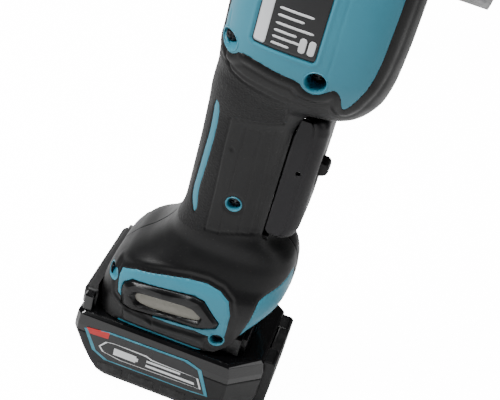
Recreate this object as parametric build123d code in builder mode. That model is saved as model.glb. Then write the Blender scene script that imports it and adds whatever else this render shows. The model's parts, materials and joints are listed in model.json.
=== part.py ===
from build123d import *
import os

# Cordless paddle-switch angle grinder, standing upright on its battery.
# Origin: centre of the battery's base. +Z runs up the tool to its gear head, +X is the paddle
# and wheel side, -Y is the nameplate side, and Y = 0 is the plane where the two halves meet.

os.makedirs("parts", exist_ok=True)

# ---- Fits ----
RUN = 0.05          # radial clearance of a shaft that turns or slides in its bore
SEAT = 0.2          # gap between fixed pieces that drop into each other
CLEAR = 0.5         # gap beside pieces that move past each other

# ---- Body outline ----
# Each station is one level cut through the body, a rounded rectangle: height, back, front,
# half width and corner radius.
BODY = [
    (47, -51, 46, 39.0, 12.0),
    (66, -51, 51, 39.5, 14.0),
    (84, -46, 58, 38.5, 16.0),
    (100, -30, 59, 34.0, 18.0),
    (116, -19, 56, 28.5, 18.0),
    (128, -16.5, 44, 25.5, 18.0),
    (140, -16, 38, 24.6, 18.0),
    (200, -16.5, 39, 27.0, 19.0),
    (226, -15, 46, 30.5, 20.0),
]
MOTOR_CASE = [
    (216, -9, 60, 26.0, 20.0),
    (222, -14.5, 68, 30.5, 22.0),
    (234, -16.5, 75, 34.5, 24.0),
    (250, -17.5, 78.5, 37.0, 26.0),
    (322, -17.5, 78.5, 36.5, 26.0),
]
SKIN = 1.6          # rubber overmould over the plastic shell
WALL = 2.4          # plastic shell
BIG = 200.0         # longer than any cut needs

# ---- Motor and gears ----
MOTOR_X = 30.0
CASE_TOP = MOTOR_CASE[-1][0]
SPINDLE_Z = 368.0
STATOR_R = 27.0
STATOR_Z = (265.0, 303.0)
ROTOR_R = 13.6
TOOTH_W = 8.0
COIL_R = (15.5, 21.8)
COIL_OVER = 6.0
SHAFT_R = 4.0
SHAFT_MID_R = 5.0
REAR_BEARING = (11.0, 249.6, 256.6)
FRONT_BEARING = (13.0, 326.0, 334.0)
FAN_R = 27.0
FAN_Z = (312.0, 321.0)
FAN_BLADES = 11
PINION_TEETH = 11
GEAR_TEETH = 39
GEAR_R = 24.0
GEAR_FACE = 7.5
PINION_R = GEAR_R * PINION_TEETH / GEAR_TEETH
MESH_GAP = 0.25

# ---- Gear housing and spindle ----
HEAD_BACK = -18.0
HEAD_FRONT = 60.0
HEAD_HALF = 34.0
HEAD_TOP = 403.0
CAVITY_R = 27.5
CAVITY_BACK = 28.0
BOX_FLANGE = 6.0
BOX_HALF = 31.0
BOX_SCREW = 24.5
NECK_R = 21.0
NECK_LEN = 16.0
NECK_END = HEAD_FRONT + BOX_FLANGE + NECK_LEN
SPINDLE_R = 6.0
SPINDLE_TAIL_R = 4.0
SPINDLE_NECK_R = 9.0
THREAD_R = 7.0
PITCH_R = 6.35              # pitch radius of the M14 thread, where the nut and flange meet it
TAIL_BEARING = (8.0, 12.0, 22.0)
NOSE_BEARING = (16.0, 51.0, 61.0)
FLANGE_X = NECK_END + 2.0
FLANGE_R = 21.0
FLANGE_T = 5.0
PILOT_R = 11.1
PILOT_T = 1.6
NUT_R = 17.0
NUT_T = 8.0
THREAD_END = 108.0
THREAD_FREE = 7.4           # thread that stands clear of the nut

# ---- Guard ----
GUARD_R = 66.0
GUARD_T = 2.0
GUARD_DEPTH = 24.0
GUARD_BACK = NECK_END - GUARD_T
COLLAR_T = 2.6
BAND_T = 1.8
BAND_W = 9.0

# ---- Side handle, threaded into either side of the head ----
HANDLE_X = 0.0
HANDLE_Z = 366.0
HANDLE_BOLT_R = 4.0
HANDLE_DEPTH = 16.0
HANDLE_LEN = 112.0

# ---- Shaft lock ----
LOCK_Z = 388.0
LOCK_PIN_R = 3.0
LOCK_HEAD_R = 8.8
LOCK_RECESS = 12.0

# ---- Paddle and switch ----
PADDLE_PIVOT = (42.0, 220.0)
PADDLE_HALF = 17.5
PADDLE_WALL = 2.2
PADDLE_BACK = 39.0
PADDLE_FRONT = 51.5
PADDLE_Z = (134.0, 212.5)
PIVOT_R = 2.5
EAR_HALF = 9.5
CHANNEL_FLOOR = 30.0
CHANNEL_HALF = 19.5
CHANNEL_Z = (130.0, 215.0)
TAB_PIVOT = (44.0, 179.0)
TAB_PIN_R = 1.5
TAB_HALF = 4.8
SLOT_Z = (162.5, 190.0)
SWITCH_Z = 159.5
SWITCH_BOX = (-4.0, 24.5, 153.2, 194.0)
SWITCH_HALF = 11.0
PLUNGER_R = 3.0
PLUNGER_TIP = 35.9

# ---- Battery ----
BATT_BACK = -58.0
BATT_FRONT = 61.0
BATT_HALF = 42.5
BATT_TOP = 46.0
BATT_SPLIT = 32.0
BATT_WALL = 2.4
BATT_BOSS = 6.0
HEAD_NECK_HALF = 24.7
HEAD_RAIL_HALF = 27.7
RAIL_STEP_Z = 52.0
RAIL_TOP_Z = 59.5
RAIL_X = (-38.0, 46.0)
PASSAGE_TOP = 60.5
PASSAGE_HALF = 33.0
CELL_R = 9.1
CELL_LEN = 65.0
CELL_PITCH = 18.3
CELL_ROWS = (12.8, 31.6)
CELL_FIRST_X = -31.5
CELL_SHIFT = 8.0
BUTTON_HALF = 9.0

# ---- Screws through the two halves: x, z, depth of the head's seat, from Y = 0 ----
CASE_SCREWS = [
    (-9.9, 247.7, 18.0),
    (39.5, 244.8, 24.0),
    (14.8, 148.0, 17.0),
    (-43.0, 76.0, 16.0),
    (27.0, 66.0, 30.0),
]
SCREW_R = 2.0
SCREW_HEAD_R = 3.6
SCREW_BOSS_R = 4.6
SCREW_END = 15.0

# ---- Dust covers ----
COVER_X = (-34.0, 27.0)
COVER_Z = (61.5, 83.0)
COVER_FACE = 40.4
COVER_T = 4.0
MESH_X = (-25.0, 16.0)
MESH_Z = (69.5, 76.5)


def keep(body, name):
    """Label one finished sub-part and write it."""
    body.part.label = name
    export_step(body.part, f"parts/{name}.step")


def lofted(stations, inset):
    """Solid through all the level cuts of a list, each drawn in by the inset."""
    with BuildPart() as body:
        for height, back, front, half, radius in stations:
            with BuildSketch(Plane.XY.offset(height)):
                with Locations(((back + front) / 2, 0)):
                    RectangleRounded(front - back - 2 * inset, 2 * half - 2 * inset, radius - inset)
        loft(ruled=True)
    return body.part


def across(points, half, start=0.0):
    """Slab with a given outline in the XZ plane, from Y = start to Y = half on both sides."""
    with BuildPart() as slab:
        with BuildSketch(Plane.XZ):
            Polygon(*points, align=None)
        extrude(amount=half, both=True)
        if start > 0:
            with BuildSketch(Plane.XZ):
                Polygon(*points, align=None)
            extrude(amount=start, both=True, mode=Mode.SUBTRACT)
    return slab.part


def block(x, y, z):
    """Box between two limits on each axis."""
    with BuildPart() as box:
        with Locations(((x[0] + x[1]) / 2, (y[0] + y[1]) / 2, (z[0] + z[1]) / 2)):
            Box(x[1] - x[0], y[1] - y[0], z[1] - z[0])
    return box.part


def rod(plane, radius, start, end, inner=0.0):
    """Round bar, or tube, along a plane's normal."""
    with BuildPart() as bar:
        with BuildSketch(plane.offset(start)):
            Circle(radius)
            if inner > 0:
                Circle(inner, mode=Mode.SUBTRACT)
        extrude(amount=end - start)
    return bar.part


def along_x(y, z):
    """Plane whose normal is +X, with its origin at a given Y and Z."""
    return Plane(origin=(0, y, z), x_dir=(0, 1, 0), z_dir=(1, 0, 0))


def along_y(x, z):
    """Plane whose normal is +Y, with its origin at a given X and Z."""
    return Plane(origin=(x, 0, z), x_dir=(1, 0, 0), z_dir=(0, 1, 0))


def along_z(x, y):
    """Plane whose normal is +Z, with its origin at a given X and Y."""
    return Plane(origin=(x, y, 0), x_dir=(1, 0, 0), z_dir=(0, 0, 1))


SPINDLE_AXIS = along_x(0, SPINDLE_Z)
MOTOR_AXIS = along_z(MOTOR_X, 0)

# ======== Body shells ========
# Side view outlines of the bare plastic: the motor case's panel and the foot's panel.
CASE_PANEL = [(-15, 330), (-15, 258), (-13, 240), (0, 235), (15, 232.5), (35, 233), (48, 236), (56, 232),
              (64, 240), (68.5, 250), (69.5, 262), (69.5, 330)]
FOOT_PANEL = [(-35, 91), (20, 96), (32, 88), (32, 58), (27.4, 58), (27.4, 80), (8, 84), (-35, 84)]

outer_body = lofted(BODY, 0) + lofted(MOTOR_CASE, 0)
shell_body = lofted(BODY, SKIN) + lofted(MOTOR_CASE, SKIN)
inner_body = lofted(BODY, SKIN + WALL) + lofted(MOTOR_CASE[1:], SKIN + WALL)
bare_zone = across(CASE_PANEL, 60, 8) + across(FOOT_PANEL, 60, 20)

channel = block((CHANNEL_FLOOR, BIG), (-CHANNEL_HALF, CHANNEL_HALF), CHANNEL_Z)
channel_walls = block((CHANNEL_FLOOR - WALL, BIG), (-CHANNEL_HALF - WALL, CHANNEL_HALF + WALL),
                      (CHANNEL_Z[0] - WALL, CHANNEL_Z[1] + WALL))
ear_slot = block((PADDLE_PIVOT[0] - 7, PADDLE_PIVOT[0] + 7), (-EAR_HALF - CLEAR, EAR_HALF + CLEAR), (206, 226))
pivot_block = block((PADDLE_PIVOT[0] - 8, PADDLE_PIVOT[0] + 8), (-16, 16), (216, 228))
passage = block((RAIL_X[0] - 4, BIG), (-PASSAGE_HALF, PASSAGE_HALF), (40, PASSAGE_TOP))
ceiling = block((-BIG, BIG), (-BIG, BIG), (PASSAGE_TOP, PASSAGE_TOP + WALL))
windows = across([(COVER_X[0] - SEAT, COVER_Z[0] - SEAT), (COVER_X[1] + SEAT, COVER_Z[0] - SEAT),
                  (COVER_X[1] + SEAT, 79.0), (8, COVER_Z[1] + SEAT), (COVER_X[0] - SEAT, COVER_Z[1] + SEAT)],
                 60, COVER_FACE - COVER_T - SEAT)
RIB_LEVELS = [(251, 256.2), (268, 271), (296, 299)]


def solid_inside():
    """What stays solid inside the shell: level webs, screw columns and the walls around the paddle's channel."""
    with BuildPart() as filling:
        for low, high in RIB_LEVELS:
            add(block((-30, 90), (-50, 50), (low, high)))
        for x, z, seat in CASE_SCREWS:
            add(rod(along_y(x, z), SCREW_BOSS_R, -60, 60))
        add(channel_walls)
        add(pivot_block)
    return filling.part


def openings():
    """Every cut through the shell and its overmould."""
    with BuildPart() as cuts:
        add(channel)
        add(ear_slot)
        add(passage)
        add(windows)
        for x, z, seat in CASE_SCREWS:
            add(rod(along_y(x, z), SCREW_HEAD_R, -60, -seat))
            add(rod(along_y(x, z), SCREW_R + SEAT, -seat, 0))
            add(rod(along_y(x, z), SCREW_R, 0, SCREW_END))
    return cuts.part


def bores():
    """Seats for the motor, its rear bearing, the paddle's pin and the switch plunger."""
    with BuildPart() as seats:
        add(rod(MOTOR_AXIS, STATOR_R, 262, 310))
        add(rod(MOTOR_AXIS, REAR_BEARING[0], 240, 262))
        add(block((-12, 8), (-6, 6), (240, 262)))
        add(rod(along_y(*PADDLE_PIVOT), PIVOT_R, -14, 14))
        add(rod(along_x(0, SWITCH_Z), PLUNGER_R + CLEAR, 20, 40))
    return seats.part


all_openings = openings()
cavity = inner_body - solid_inside()
shell = shell_body - cavity - all_openings - bores()
panel = (outer_body & bare_zone) - shell_body - all_openings
skin = outer_body - shell_body - bare_zone - all_openings


def half_of(body, side):
    """One half of a body that is split along the tool's middle plane."""
    with BuildPart() as part:
        add(body)
        split(bisect_by=Plane.XZ, keep=side)
    return part.part


def keep_group(solids, name):
    """Label one sub-part made of several touching or separate solids and write it."""
    group = Compound(label=name, children=list(solids))
    export_step(group, f"parts/{name}.step")


# Plane.XZ looks along -Y, so its top side is the right half, where the nameplate is.
for hand, side in (("right", Keep.TOP), ("left", Keep.BOTTOM)):
    keep_group(half_of(shell, side).solids() + half_of(panel, side).solids(), f"{hand}_housing")
    keep_group(half_of(skin, side).solids(), f"{hand}_overmould")

# ======== Trim on the body ========
PLATE_X = (1.5, 36.5)
PLATE_Z = (256.0, 318.0)

with BuildPart() as nameplate:
    with BuildSketch(Plane.XZ.offset(37.0)):
        with Locations(((PLATE_X[0] + PLATE_X[1]) / 2, (PLATE_Z[0] + PLATE_Z[1]) / 2)):
            RectangleRounded(PLATE_X[1] - PLATE_X[0], PLATE_Z[1] - PLATE_Z[0], 3)
    extrude(amount=0.4)
keep(nameplate, "nameplate")


def cover(side):
    """Dust cover: a frame with a slot for its mesh, dropped into the foot's window."""
    inner_y = side * (COVER_FACE - COVER_T)
    outer_y = side * COVER_FACE
    low, high = min(inner_y, outer_y), max(inner_y, outer_y)
    frame = across([(COVER_X[0], COVER_Z[0]), (COVER_X[1], COVER_Z[0]), (COVER_X[1], 78.6), (8, COVER_Z[1]),
                    (COVER_X[0], COVER_Z[1])], 60) & block((-BIG, BIG), (low, high), (0, BIG))
    return frame - block((MESH_X[0] - SEAT, MESH_X[1] + SEAT), (low - 1, high + 1),
                         (MESH_Z[0] - SEAT, MESH_Z[1] + SEAT))


for hand, side in (("right", -1), ("left", 1)):
    with BuildPart() as dust_cover:
        add(cover(side))
    keep(dust_cover, f"{hand}_dust_cover")
    with BuildPart() as dust_mesh:
        mesh_y = sorted((side * (COVER_FACE - COVER_T), side * (COVER_FACE - 1.2)))
        add(block(MESH_X, mesh_y, MESH_Z))
    keep(dust_mesh, f"{hand}_dust_mesh")

with BuildPart() as housing_screws:
    for x, z, seat in CASE_SCREWS:
        add(rod(along_y(x, z), SCREW_HEAD_R - SEAT, -seat - 3, -seat))
        add(rod(along_y(x, z), SCREW_R, -seat, SCREW_END - 0.5))
keep(housing_screws, "housing_screws")

# Rubber bead and strap eye at the back of the foot.
with BuildPart() as foot_bumper:
    with BuildSketch(Plane.XY.offset(BATT_TOP + 1.2)):
        with Locations((-52.5, 0)):
            RectangleRounded(11, 70, 4)
    extrude(amount=12)
    fillet(foot_bumper.faces().sort_by(Axis.Z)[-1].edges(), 3)
    add(shell_body, mode=Mode.SUBTRACT)
    add(skin, mode=Mode.SUBTRACT)
keep_group([foot_bumper.part.solids().sort_by(Axis.X)[0]], "foot_bumper")

# ======== Motor ========


def annulus(axis, outer, inner, start, end):
    """Ring about one of the two main axes."""
    return rod(axis, outer, start, end, inner)


with BuildPart() as motor_stator:
    add(annulus(MOTOR_AXIS, STATOR_R, COIL_R[1] + SEAT, *STATOR_Z))
    with BuildSketch(Plane.XY.offset(STATOR_Z[0])):
        with Locations((MOTOR_X, 0)):
            with PolarLocations(18.2, 6):
                Rectangle(8.6, TOOTH_W)
    extrude(amount=STATOR_Z[1] - STATOR_Z[0])
    add(rod(MOTOR_AXIS, COIL_R[0] - 1.3, 260, 310), mode=Mode.SUBTRACT)
keep(motor_stator, "motor_stator")

with BuildPart() as stator_windings:
    add(annulus(MOTOR_AXIS, COIL_R[1], COIL_R[0], STATOR_Z[0] - COIL_OVER, STATOR_Z[1] + COIL_OVER))
    with BuildSketch(Plane.XY.offset(STATOR_Z[0] - SEAT)):
        with Locations((MOTOR_X, 0)):
            with PolarLocations(18.2, 6):
                Rectangle(10, TOOTH_W + 2 * SEAT)
    extrude(amount=STATOR_Z[1] - STATOR_Z[0] + 2 * SEAT, mode=Mode.SUBTRACT)
keep(stator_windings, "stator_windings")

with BuildPart() as rotor_core:
    add(annulus(MOTOR_AXIS, ROTOR_R, SHAFT_MID_R, STATOR_Z[0] - 1, STATOR_Z[1] + 1))
keep(rotor_core, "rotor_core")

with BuildPart() as rotor_shaft:
    add(rod(MOTOR_AXIS, SHAFT_R, REAR_BEARING[1] + 0.4, STATOR_Z[0] - 4))
    add(rod(MOTOR_AXIS, SHAFT_MID_R, STATOR_Z[0] - 4, FRONT_BEARING[2] + 3))
    add(rod(MOTOR_AXIS, 3, FRONT_BEARING[2] + 3, SPINDLE_Z - GEAR_R + GEAR_FACE + 2))
keep(rotor_shaft, "rotor_shaft")


def bearing(axis, size, bore):
    """Ball bearing drawn as two rings and a seal between them."""
    outer, start, end = size
    ring = (outer - bore) * 0.28
    with BuildPart() as body:
        add(annulus(axis, outer, outer - ring, start, end))
        add(annulus(axis, bore + ring, bore, start, end))
        add(annulus(axis, outer - ring, bore + ring, start + 0.6, end - 0.6))
    return body.part


with BuildPart() as motor_bearings:
    add(bearing(MOTOR_AXIS, REAR_BEARING, SHAFT_R + RUN))
    add(bearing(MOTOR_AXIS, FRONT_BEARING, SHAFT_MID_R + RUN))
keep(motor_bearings, "motor_bearings")

with BuildPart() as fan:
    add(annulus(MOTOR_AXIS, FAN_R, SHAFT_MID_R, FAN_Z[0], FAN_Z[0] + 1.6))
    add(annulus(MOTOR_AXIS, 9, SHAFT_MID_R, FAN_Z[0], FAN_Z[1]))
    with BuildSketch(Plane.XY.offset(FAN_Z[0] + 1)):
        with Locations((MOTOR_X, 0)):
            with PolarLocations(17.5, FAN_BLADES):
                Rectangle(18, 1.4, rotation=18)
    extrude(amount=FAN_Z[1] - FAN_Z[0] - 1)
    add(annulus(MOTOR_AXIS, FAN_R + 10, FAN_R, 300, 330), mode=Mode.SUBTRACT)
keep(fan, "fan")

with BuildPart() as sensor_board:
    add(annulus(MOTOR_AXIS, 24, 12.5, REAR_BEARING[2] + 0.4, STATOR_Z[0] - COIL_OVER - 0.4))
keep(sensor_board, "sensor_board")

with BuildPart() as pinion:
    apex = SPINDLE_Z - GEAR_R
    with BuildSketch(Plane.XZ):
        Polygon((MOTOR_X + 3, apex), (MOTOR_X + PINION_R - MESH_GAP, apex),
                (MOTOR_X + PINION_R * (1 - GEAR_FACE / GEAR_R) - MESH_GAP, apex + GEAR_FACE),
                (MOTOR_X + 3, apex + GEAR_FACE), align=None)
    revolve(axis=Axis((MOTOR_X, 0, 0), (0, 0, 1)))
    with BuildSketch(Plane.XY.offset(apex)):
        with Locations((MOTOR_X, 0)):
            with PolarLocations(PINION_R + 0.2, PINION_TEETH):
                Rectangle(2.4, 1.5)
    extrude(amount=GEAR_FACE, mode=Mode.SUBTRACT)
keep(pinion, "pinion")

# ======== Gear head ========
with BuildPart() as gear_housing:
    with BuildSketch(Plane.XY.offset(CASE_TOP)):
        with Locations(((HEAD_BACK + HEAD_FRONT) / 2, 0)):
            RectangleRounded(HEAD_FRONT - HEAD_BACK, 2 * HEAD_HALF, 16)
    extrude(amount=HEAD_TOP - CASE_TOP)
    fillet(gear_housing.faces().sort_by(Axis.Z)[-1].edges(), 9)
    with BuildSketch(Plane.XY.offset(CASE_TOP)):
        with Locations((30, 0)):
            RectangleRounded(95, 72, 26)
    extrude(amount=5)
    with BuildSketch(Plane.YZ.offset(HEAD_FRONT)):
        with Locations((0, SPINDLE_Z)):
            RectangleRounded(2 * BOX_HALF, 2 * BOX_HALF, 12)
    extrude(amount=-30)
    add(rod(SPINDLE_AXIS, CAVITY_R, CAVITY_BACK, BIG), mode=Mode.SUBTRACT)
    add(rod(SPINDLE_AXIS, TAIL_BEARING[0], TAIL_BEARING[1], CAVITY_BACK), mode=Mode.SUBTRACT)
    add(rod(MOTOR_AXIS, 19, CASE_TOP, FRONT_BEARING[1]), mode=Mode.SUBTRACT)
    add(rod(MOTOR_AXIS, FRONT_BEARING[0], FRONT_BEARING[1], FRONT_BEARING[2]), mode=Mode.SUBTRACT)
    add(rod(MOTOR_AXIS, 11, FRONT_BEARING[2], 355), mode=Mode.SUBTRACT)
    add(rod(along_x(0, LOCK_Z), LOCK_PIN_R + RUN, -40, CAVITY_BACK), mode=Mode.SUBTRACT)
    add(rod(along_x(0, LOCK_Z), LOCK_HEAD_R + RUN, -40, HEAD_BACK + LOCK_RECESS), mode=Mode.SUBTRACT)
    for near, far in ((-HEAD_HALF, HANDLE_DEPTH - HEAD_HALF), (HEAD_HALF - HANDLE_DEPTH, HEAD_HALF)):
        add(rod(along_y(HANDLE_X, HANDLE_Z), HANDLE_BOLT_R, near - 2 * (near < 0), far + 2 * (near > 0)),
            mode=Mode.SUBTRACT)
    for y in (-BOX_SCREW, BOX_SCREW):
        for z in (SPINDLE_Z - BOX_SCREW, SPINDLE_Z + BOX_SCREW):
            add(rod(along_x(y, z), SCREW_R, HEAD_FRONT - 14, HEAD_FRONT + 1), mode=Mode.SUBTRACT)
keep(gear_housing, "gear_housing")

with BuildPart() as bearing_retainer:
    add(annulus(MOTOR_AXIS, 18.9, 7, CASE_TOP + 1.0, FRONT_BEARING[1]))
keep(bearing_retainer, "bearing_retainer")

with BuildPart() as bearing_box:
    with BuildSketch(Plane.YZ.offset(HEAD_FRONT)):
        with Locations((0, SPINDLE_Z)):
            RectangleRounded(2 * BOX_HALF, 2 * BOX_HALF, 12)
    extrude(amount=BOX_FLANGE)
    add(rod(SPINDLE_AXIS, CAVITY_R - SEAT, NOSE_BEARING[1] - 1, HEAD_FRONT + 1))
    add(rod(SPINDLE_AXIS, NECK_R, HEAD_FRONT, NECK_END))
    add(rod(SPINDLE_AXIS, NOSE_BEARING[0], 40, NOSE_BEARING[2]), mode=Mode.SUBTRACT)
    add(rod(SPINDLE_AXIS, SPINDLE_NECK_R + 1, 40, BIG), mode=Mode.SUBTRACT)
    for y in (-BOX_SCREW, BOX_SCREW):
        for z in (SPINDLE_Z - BOX_SCREW, SPINDLE_Z + BOX_SCREW):
            add(rod(along_x(y, z), SCREW_R + SEAT, HEAD_FRONT - 1, BIG), mode=Mode.SUBTRACT)
keep(bearing_box, "bearing_box")

with BuildPart() as bearing_box_screws:
    for y in (-BOX_SCREW, BOX_SCREW):
        for z in (SPINDLE_Z - BOX_SCREW, SPINDLE_Z + BOX_SCREW):
            add(rod(along_x(y, z), SCREW_R, HEAD_FRONT - 13, HEAD_FRONT + BOX_FLANGE))
            add(rod(along_x(y, z), SCREW_HEAD_R, HEAD_FRONT + BOX_FLANGE, HEAD_FRONT + BOX_FLANGE + 2.6))
            add(rod(along_x(y, z), 1.3, HEAD_FRONT + BOX_FLANGE + 0.8, BIG), mode=Mode.SUBTRACT)
keep(bearing_box_screws, "bearing_box_screws")

with BuildPart() as spindle_bearings:
    add(bearing(SPINDLE_AXIS, TAIL_BEARING, SPINDLE_TAIL_R + RUN))
    add(bearing(SPINDLE_AXIS, NOSE_BEARING, SPINDLE_R + RUN))
keep(spindle_bearings, "spindle_bearings")

# ======== Spindle ========
with BuildPart() as spindle:
    add(rod(SPINDLE_AXIS, SPINDLE_TAIL_R, TAIL_BEARING[1] + 0.5, TAIL_BEARING[2] + 1))
    add(rod(SPINDLE_AXIS, SPINDLE_R, TAIL_BEARING[2] + 1, NOSE_BEARING[2] + 1))
    add(rod(SPINDLE_AXIS, SPINDLE_NECK_R, NOSE_BEARING[2] + 1, FLANGE_X))
    add(rod(SPINDLE_AXIS, PITCH_R - RUN, FLANGE_X, THREAD_END - THREAD_FREE))
    add(rod(SPINDLE_AXIS, THREAD_R, THREAD_END - THREAD_FREE, THREAD_END))
    chamfer(spindle.faces().sort_by(Axis.X)[-1].edges(), 1)
keep(spindle, "spindle")

with BuildPart() as bevel_gear:
    face_x = MOTOR_X + PINION_R + MESH_GAP
    inner_r = GEAR_R - GEAR_FACE
    inner_x = MOTOR_X + PINION_R * inner_r / GEAR_R + MESH_GAP
    with BuildSketch(Plane.XZ):
        Polygon((face_x, SPINDLE_Z + GEAR_R), (inner_x, SPINDLE_Z + inner_r), (face_x + 2, SPINDLE_Z + inner_r),
                (face_x + 2, SPINDLE_Z + SPINDLE_R), (46, SPINDLE_Z + SPINDLE_R), (46, SPINDLE_Z + 11),
                (43, SPINDLE_Z + GEAR_R), align=None)
    revolve(axis=Axis((0, 0, SPINDLE_Z), (1, 0, 0)))
    with BuildSketch(Plane.YZ.offset(inner_x - 1)):
        with Locations((0, SPINDLE_Z)):
            with PolarLocations(inner_r + GEAR_FACE / 2, GEAR_TEETH):
                Rectangle(GEAR_FACE + 2, 1.3)
    extrude(amount=3.4, mode=Mode.SUBTRACT)
keep(bevel_gear, "bevel_gear")

with BuildPart() as inner_flange:
    add(annulus(SPINDLE_AXIS, FLANGE_R, PITCH_R, FLANGE_X, FLANGE_X + FLANGE_T))
    add(annulus(SPINDLE_AXIS, FLANGE_R - 3, PILOT_R, FLANGE_X + FLANGE_T - 1, FLANGE_X + FLANGE_T),
        mode=Mode.SUBTRACT)
    add(annulus(SPINDLE_AXIS, PILOT_R, PITCH_R, FLANGE_X, FLANGE_X + FLANGE_T + PILOT_T))
keep(inner_flange, "inner_flange")

NUT_X = FLANGE_X + FLANGE_T + PILOT_T
with BuildPart() as lock_nut:
    add(annulus(SPINDLE_AXIS, NUT_R, PITCH_R, NUT_X, NUT_X + NUT_T - 2))
    add(annulus(SPINDLE_AXIS, NUT_R - 3, PITCH_R, NUT_X, NUT_X + NUT_T))
    for side in (-1, 1):
        add(rod(along_x(side * 11, SPINDLE_Z), 2, NUT_X + 2, BIG), mode=Mode.SUBTRACT)
keep(lock_nut, "lock_nut")

# ======== Guard ========
GUARD_FRONT = GUARD_BACK + GUARD_T + GUARD_DEPTH


def lower_half(radius, inner, start, end):
    """Half ring below the spindle's axis, a little more than 180 degrees round."""
    ring = annulus(SPINDLE_AXIS, radius, inner, start, end)
    return ring - block((-BIG, BIG), (-BIG, BIG), (SPINDLE_Z + 6, SPINDLE_Z + BIG))


with BuildPart() as wheel_guard:
    add(lower_half(GUARD_R, NECK_R + RUN, GUARD_BACK, GUARD_BACK + GUARD_T))
    add(lower_half(GUARD_R, GUARD_R - GUARD_T, GUARD_BACK, GUARD_FRONT))
    add(lower_half(GUARD_R, GUARD_R - 4, GUARD_FRONT - 1.6, GUARD_FRONT))
    add(annulus(SPINDLE_AXIS, NECK_R + RUN + COLLAR_T, NECK_R + RUN, GUARD_BACK - BAND_W - 1, GUARD_BACK + GUARD_T))
    add(block((0, GUARD_BACK - 0.01), (-1.2, 1.2), (SPINDLE_Z + 10, SPINDLE_Z + 30)), mode=Mode.SUBTRACT)
keep(wheel_guard, "wheel_guard")

BAND_R = NECK_R + RUN + COLLAR_T
BAND_X = (GUARD_BACK - BAND_W - 0.6, GUARD_BACK - 0.6)
with BuildPart() as guard_band:
    add(annulus(SPINDLE_AXIS, BAND_R + BAND_T, BAND_R, *BAND_X))
    add(block(BAND_X, (-7, 7), (SPINDLE_Z + BAND_R + 0.2, SPINDLE_Z + BAND_R + 11)))
    add(block((0, BIG), (-2, 2), (SPINDLE_Z + 10, SPINDLE_Z + 60)), mode=Mode.SUBTRACT)
    add(rod(along_y((BAND_X[0] + BAND_X[1]) / 2, SPINDLE_Z + BAND_R + 6.5), SCREW_R, -10, 10), mode=Mode.SUBTRACT)
keep(guard_band, "guard_band")

with BuildPart() as guard_screw:
    screw_axis = along_y((BAND_X[0] + BAND_X[1]) / 2, SPINDLE_Z + BAND_R + 6.5)
    add(rod(screw_axis, SCREW_R, -7, 12))
    add(rod(screw_axis, SCREW_HEAD_R, -10, -7))
    add(rod(screw_axis, 1.3, -11, -8.4), mode=Mode.SUBTRACT)
keep(guard_screw, "guard_screw")

# ======== Shaft lock ========
LOCK_AXIS = along_x(0, LOCK_Z)
LOCK_SEAT = HEAD_BACK + LOCK_RECESS
with BuildPart() as shaft_lock_button:
    add(rod(LOCK_AXIS, LOCK_HEAD_R, HEAD_BACK - 5, LOCK_SEAT - 7))
    fillet(shaft_lock_button.faces().sort_by(Axis.X)[0].edges(), 1.5)
    add(rod(LOCK_AXIS, LOCK_PIN_R, LOCK_SEAT - 8, CAVITY_BACK + 2))
keep(shaft_lock_button, "shaft_lock_button")


def coil_spring(radius, wire, pitch, height, base):
    """Coil spring that runs along +X from its base point, made from a swept helix."""
    with BuildPart() as coil:
        with BuildLine():
            path = Helix(pitch=pitch, height=height, radius=radius, center=base, direction=(1, 0, 0))
        with BuildSketch(Plane(origin=path @ 0, z_dir=path % 0)):
            Circle(wire)
        sweep()
    return coil.part


with BuildPart() as shaft_lock_spring:
    add(coil_spring(6.2, 0.5, 2.0, 5.6, (LOCK_SEAT - 6.4, 0, LOCK_Z)))
keep(shaft_lock_spring, "shaft_lock_spring")

# ======== Side handle ========
HANDLE_AXIS = along_y(HANDLE_X, HANDLE_Z)
with BuildPart() as handle_bolt:
    add(rod(HANDLE_AXIS, HANDLE_BOLT_R, HEAD_HALF - HANDLE_DEPTH + 1, HEAD_HALF + 26))
keep(handle_bolt, "handle_bolt")

with BuildPart() as handle_grip:
    start = HEAD_HALF + 0.3
    with BuildSketch(Plane.XY.offset(HANDLE_Z)):
        with BuildLine():
            Polyline((HANDLE_X, start), (HANDLE_X + 19, start), (HANDLE_X + 21, start + 4), (HANDLE_X + 14, start + 9))
            Spline((HANDLE_X + 14, start + 9), (HANDLE_X + 16.5, start + 45), (HANDLE_X + 14.5, start + 85),
                   (HANDLE_X + 17.5, start + HANDLE_LEN - 6))
            Polyline((HANDLE_X + 17.5, start + HANDLE_LEN - 6), (HANDLE_X + 15, start + HANDLE_LEN),
                     (HANDLE_X, start + HANDLE_LEN), (HANDLE_X, start))
        make_face()
    revolve(axis=Axis((HANDLE_X, 0, HANDLE_Z), (0, 1, 0)))
    add(rod(HANDLE_AXIS, HANDLE_BOLT_R, 0, HEAD_HALF + 26), mode=Mode.SUBTRACT)
keep(handle_grip, "handle_grip")

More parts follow.
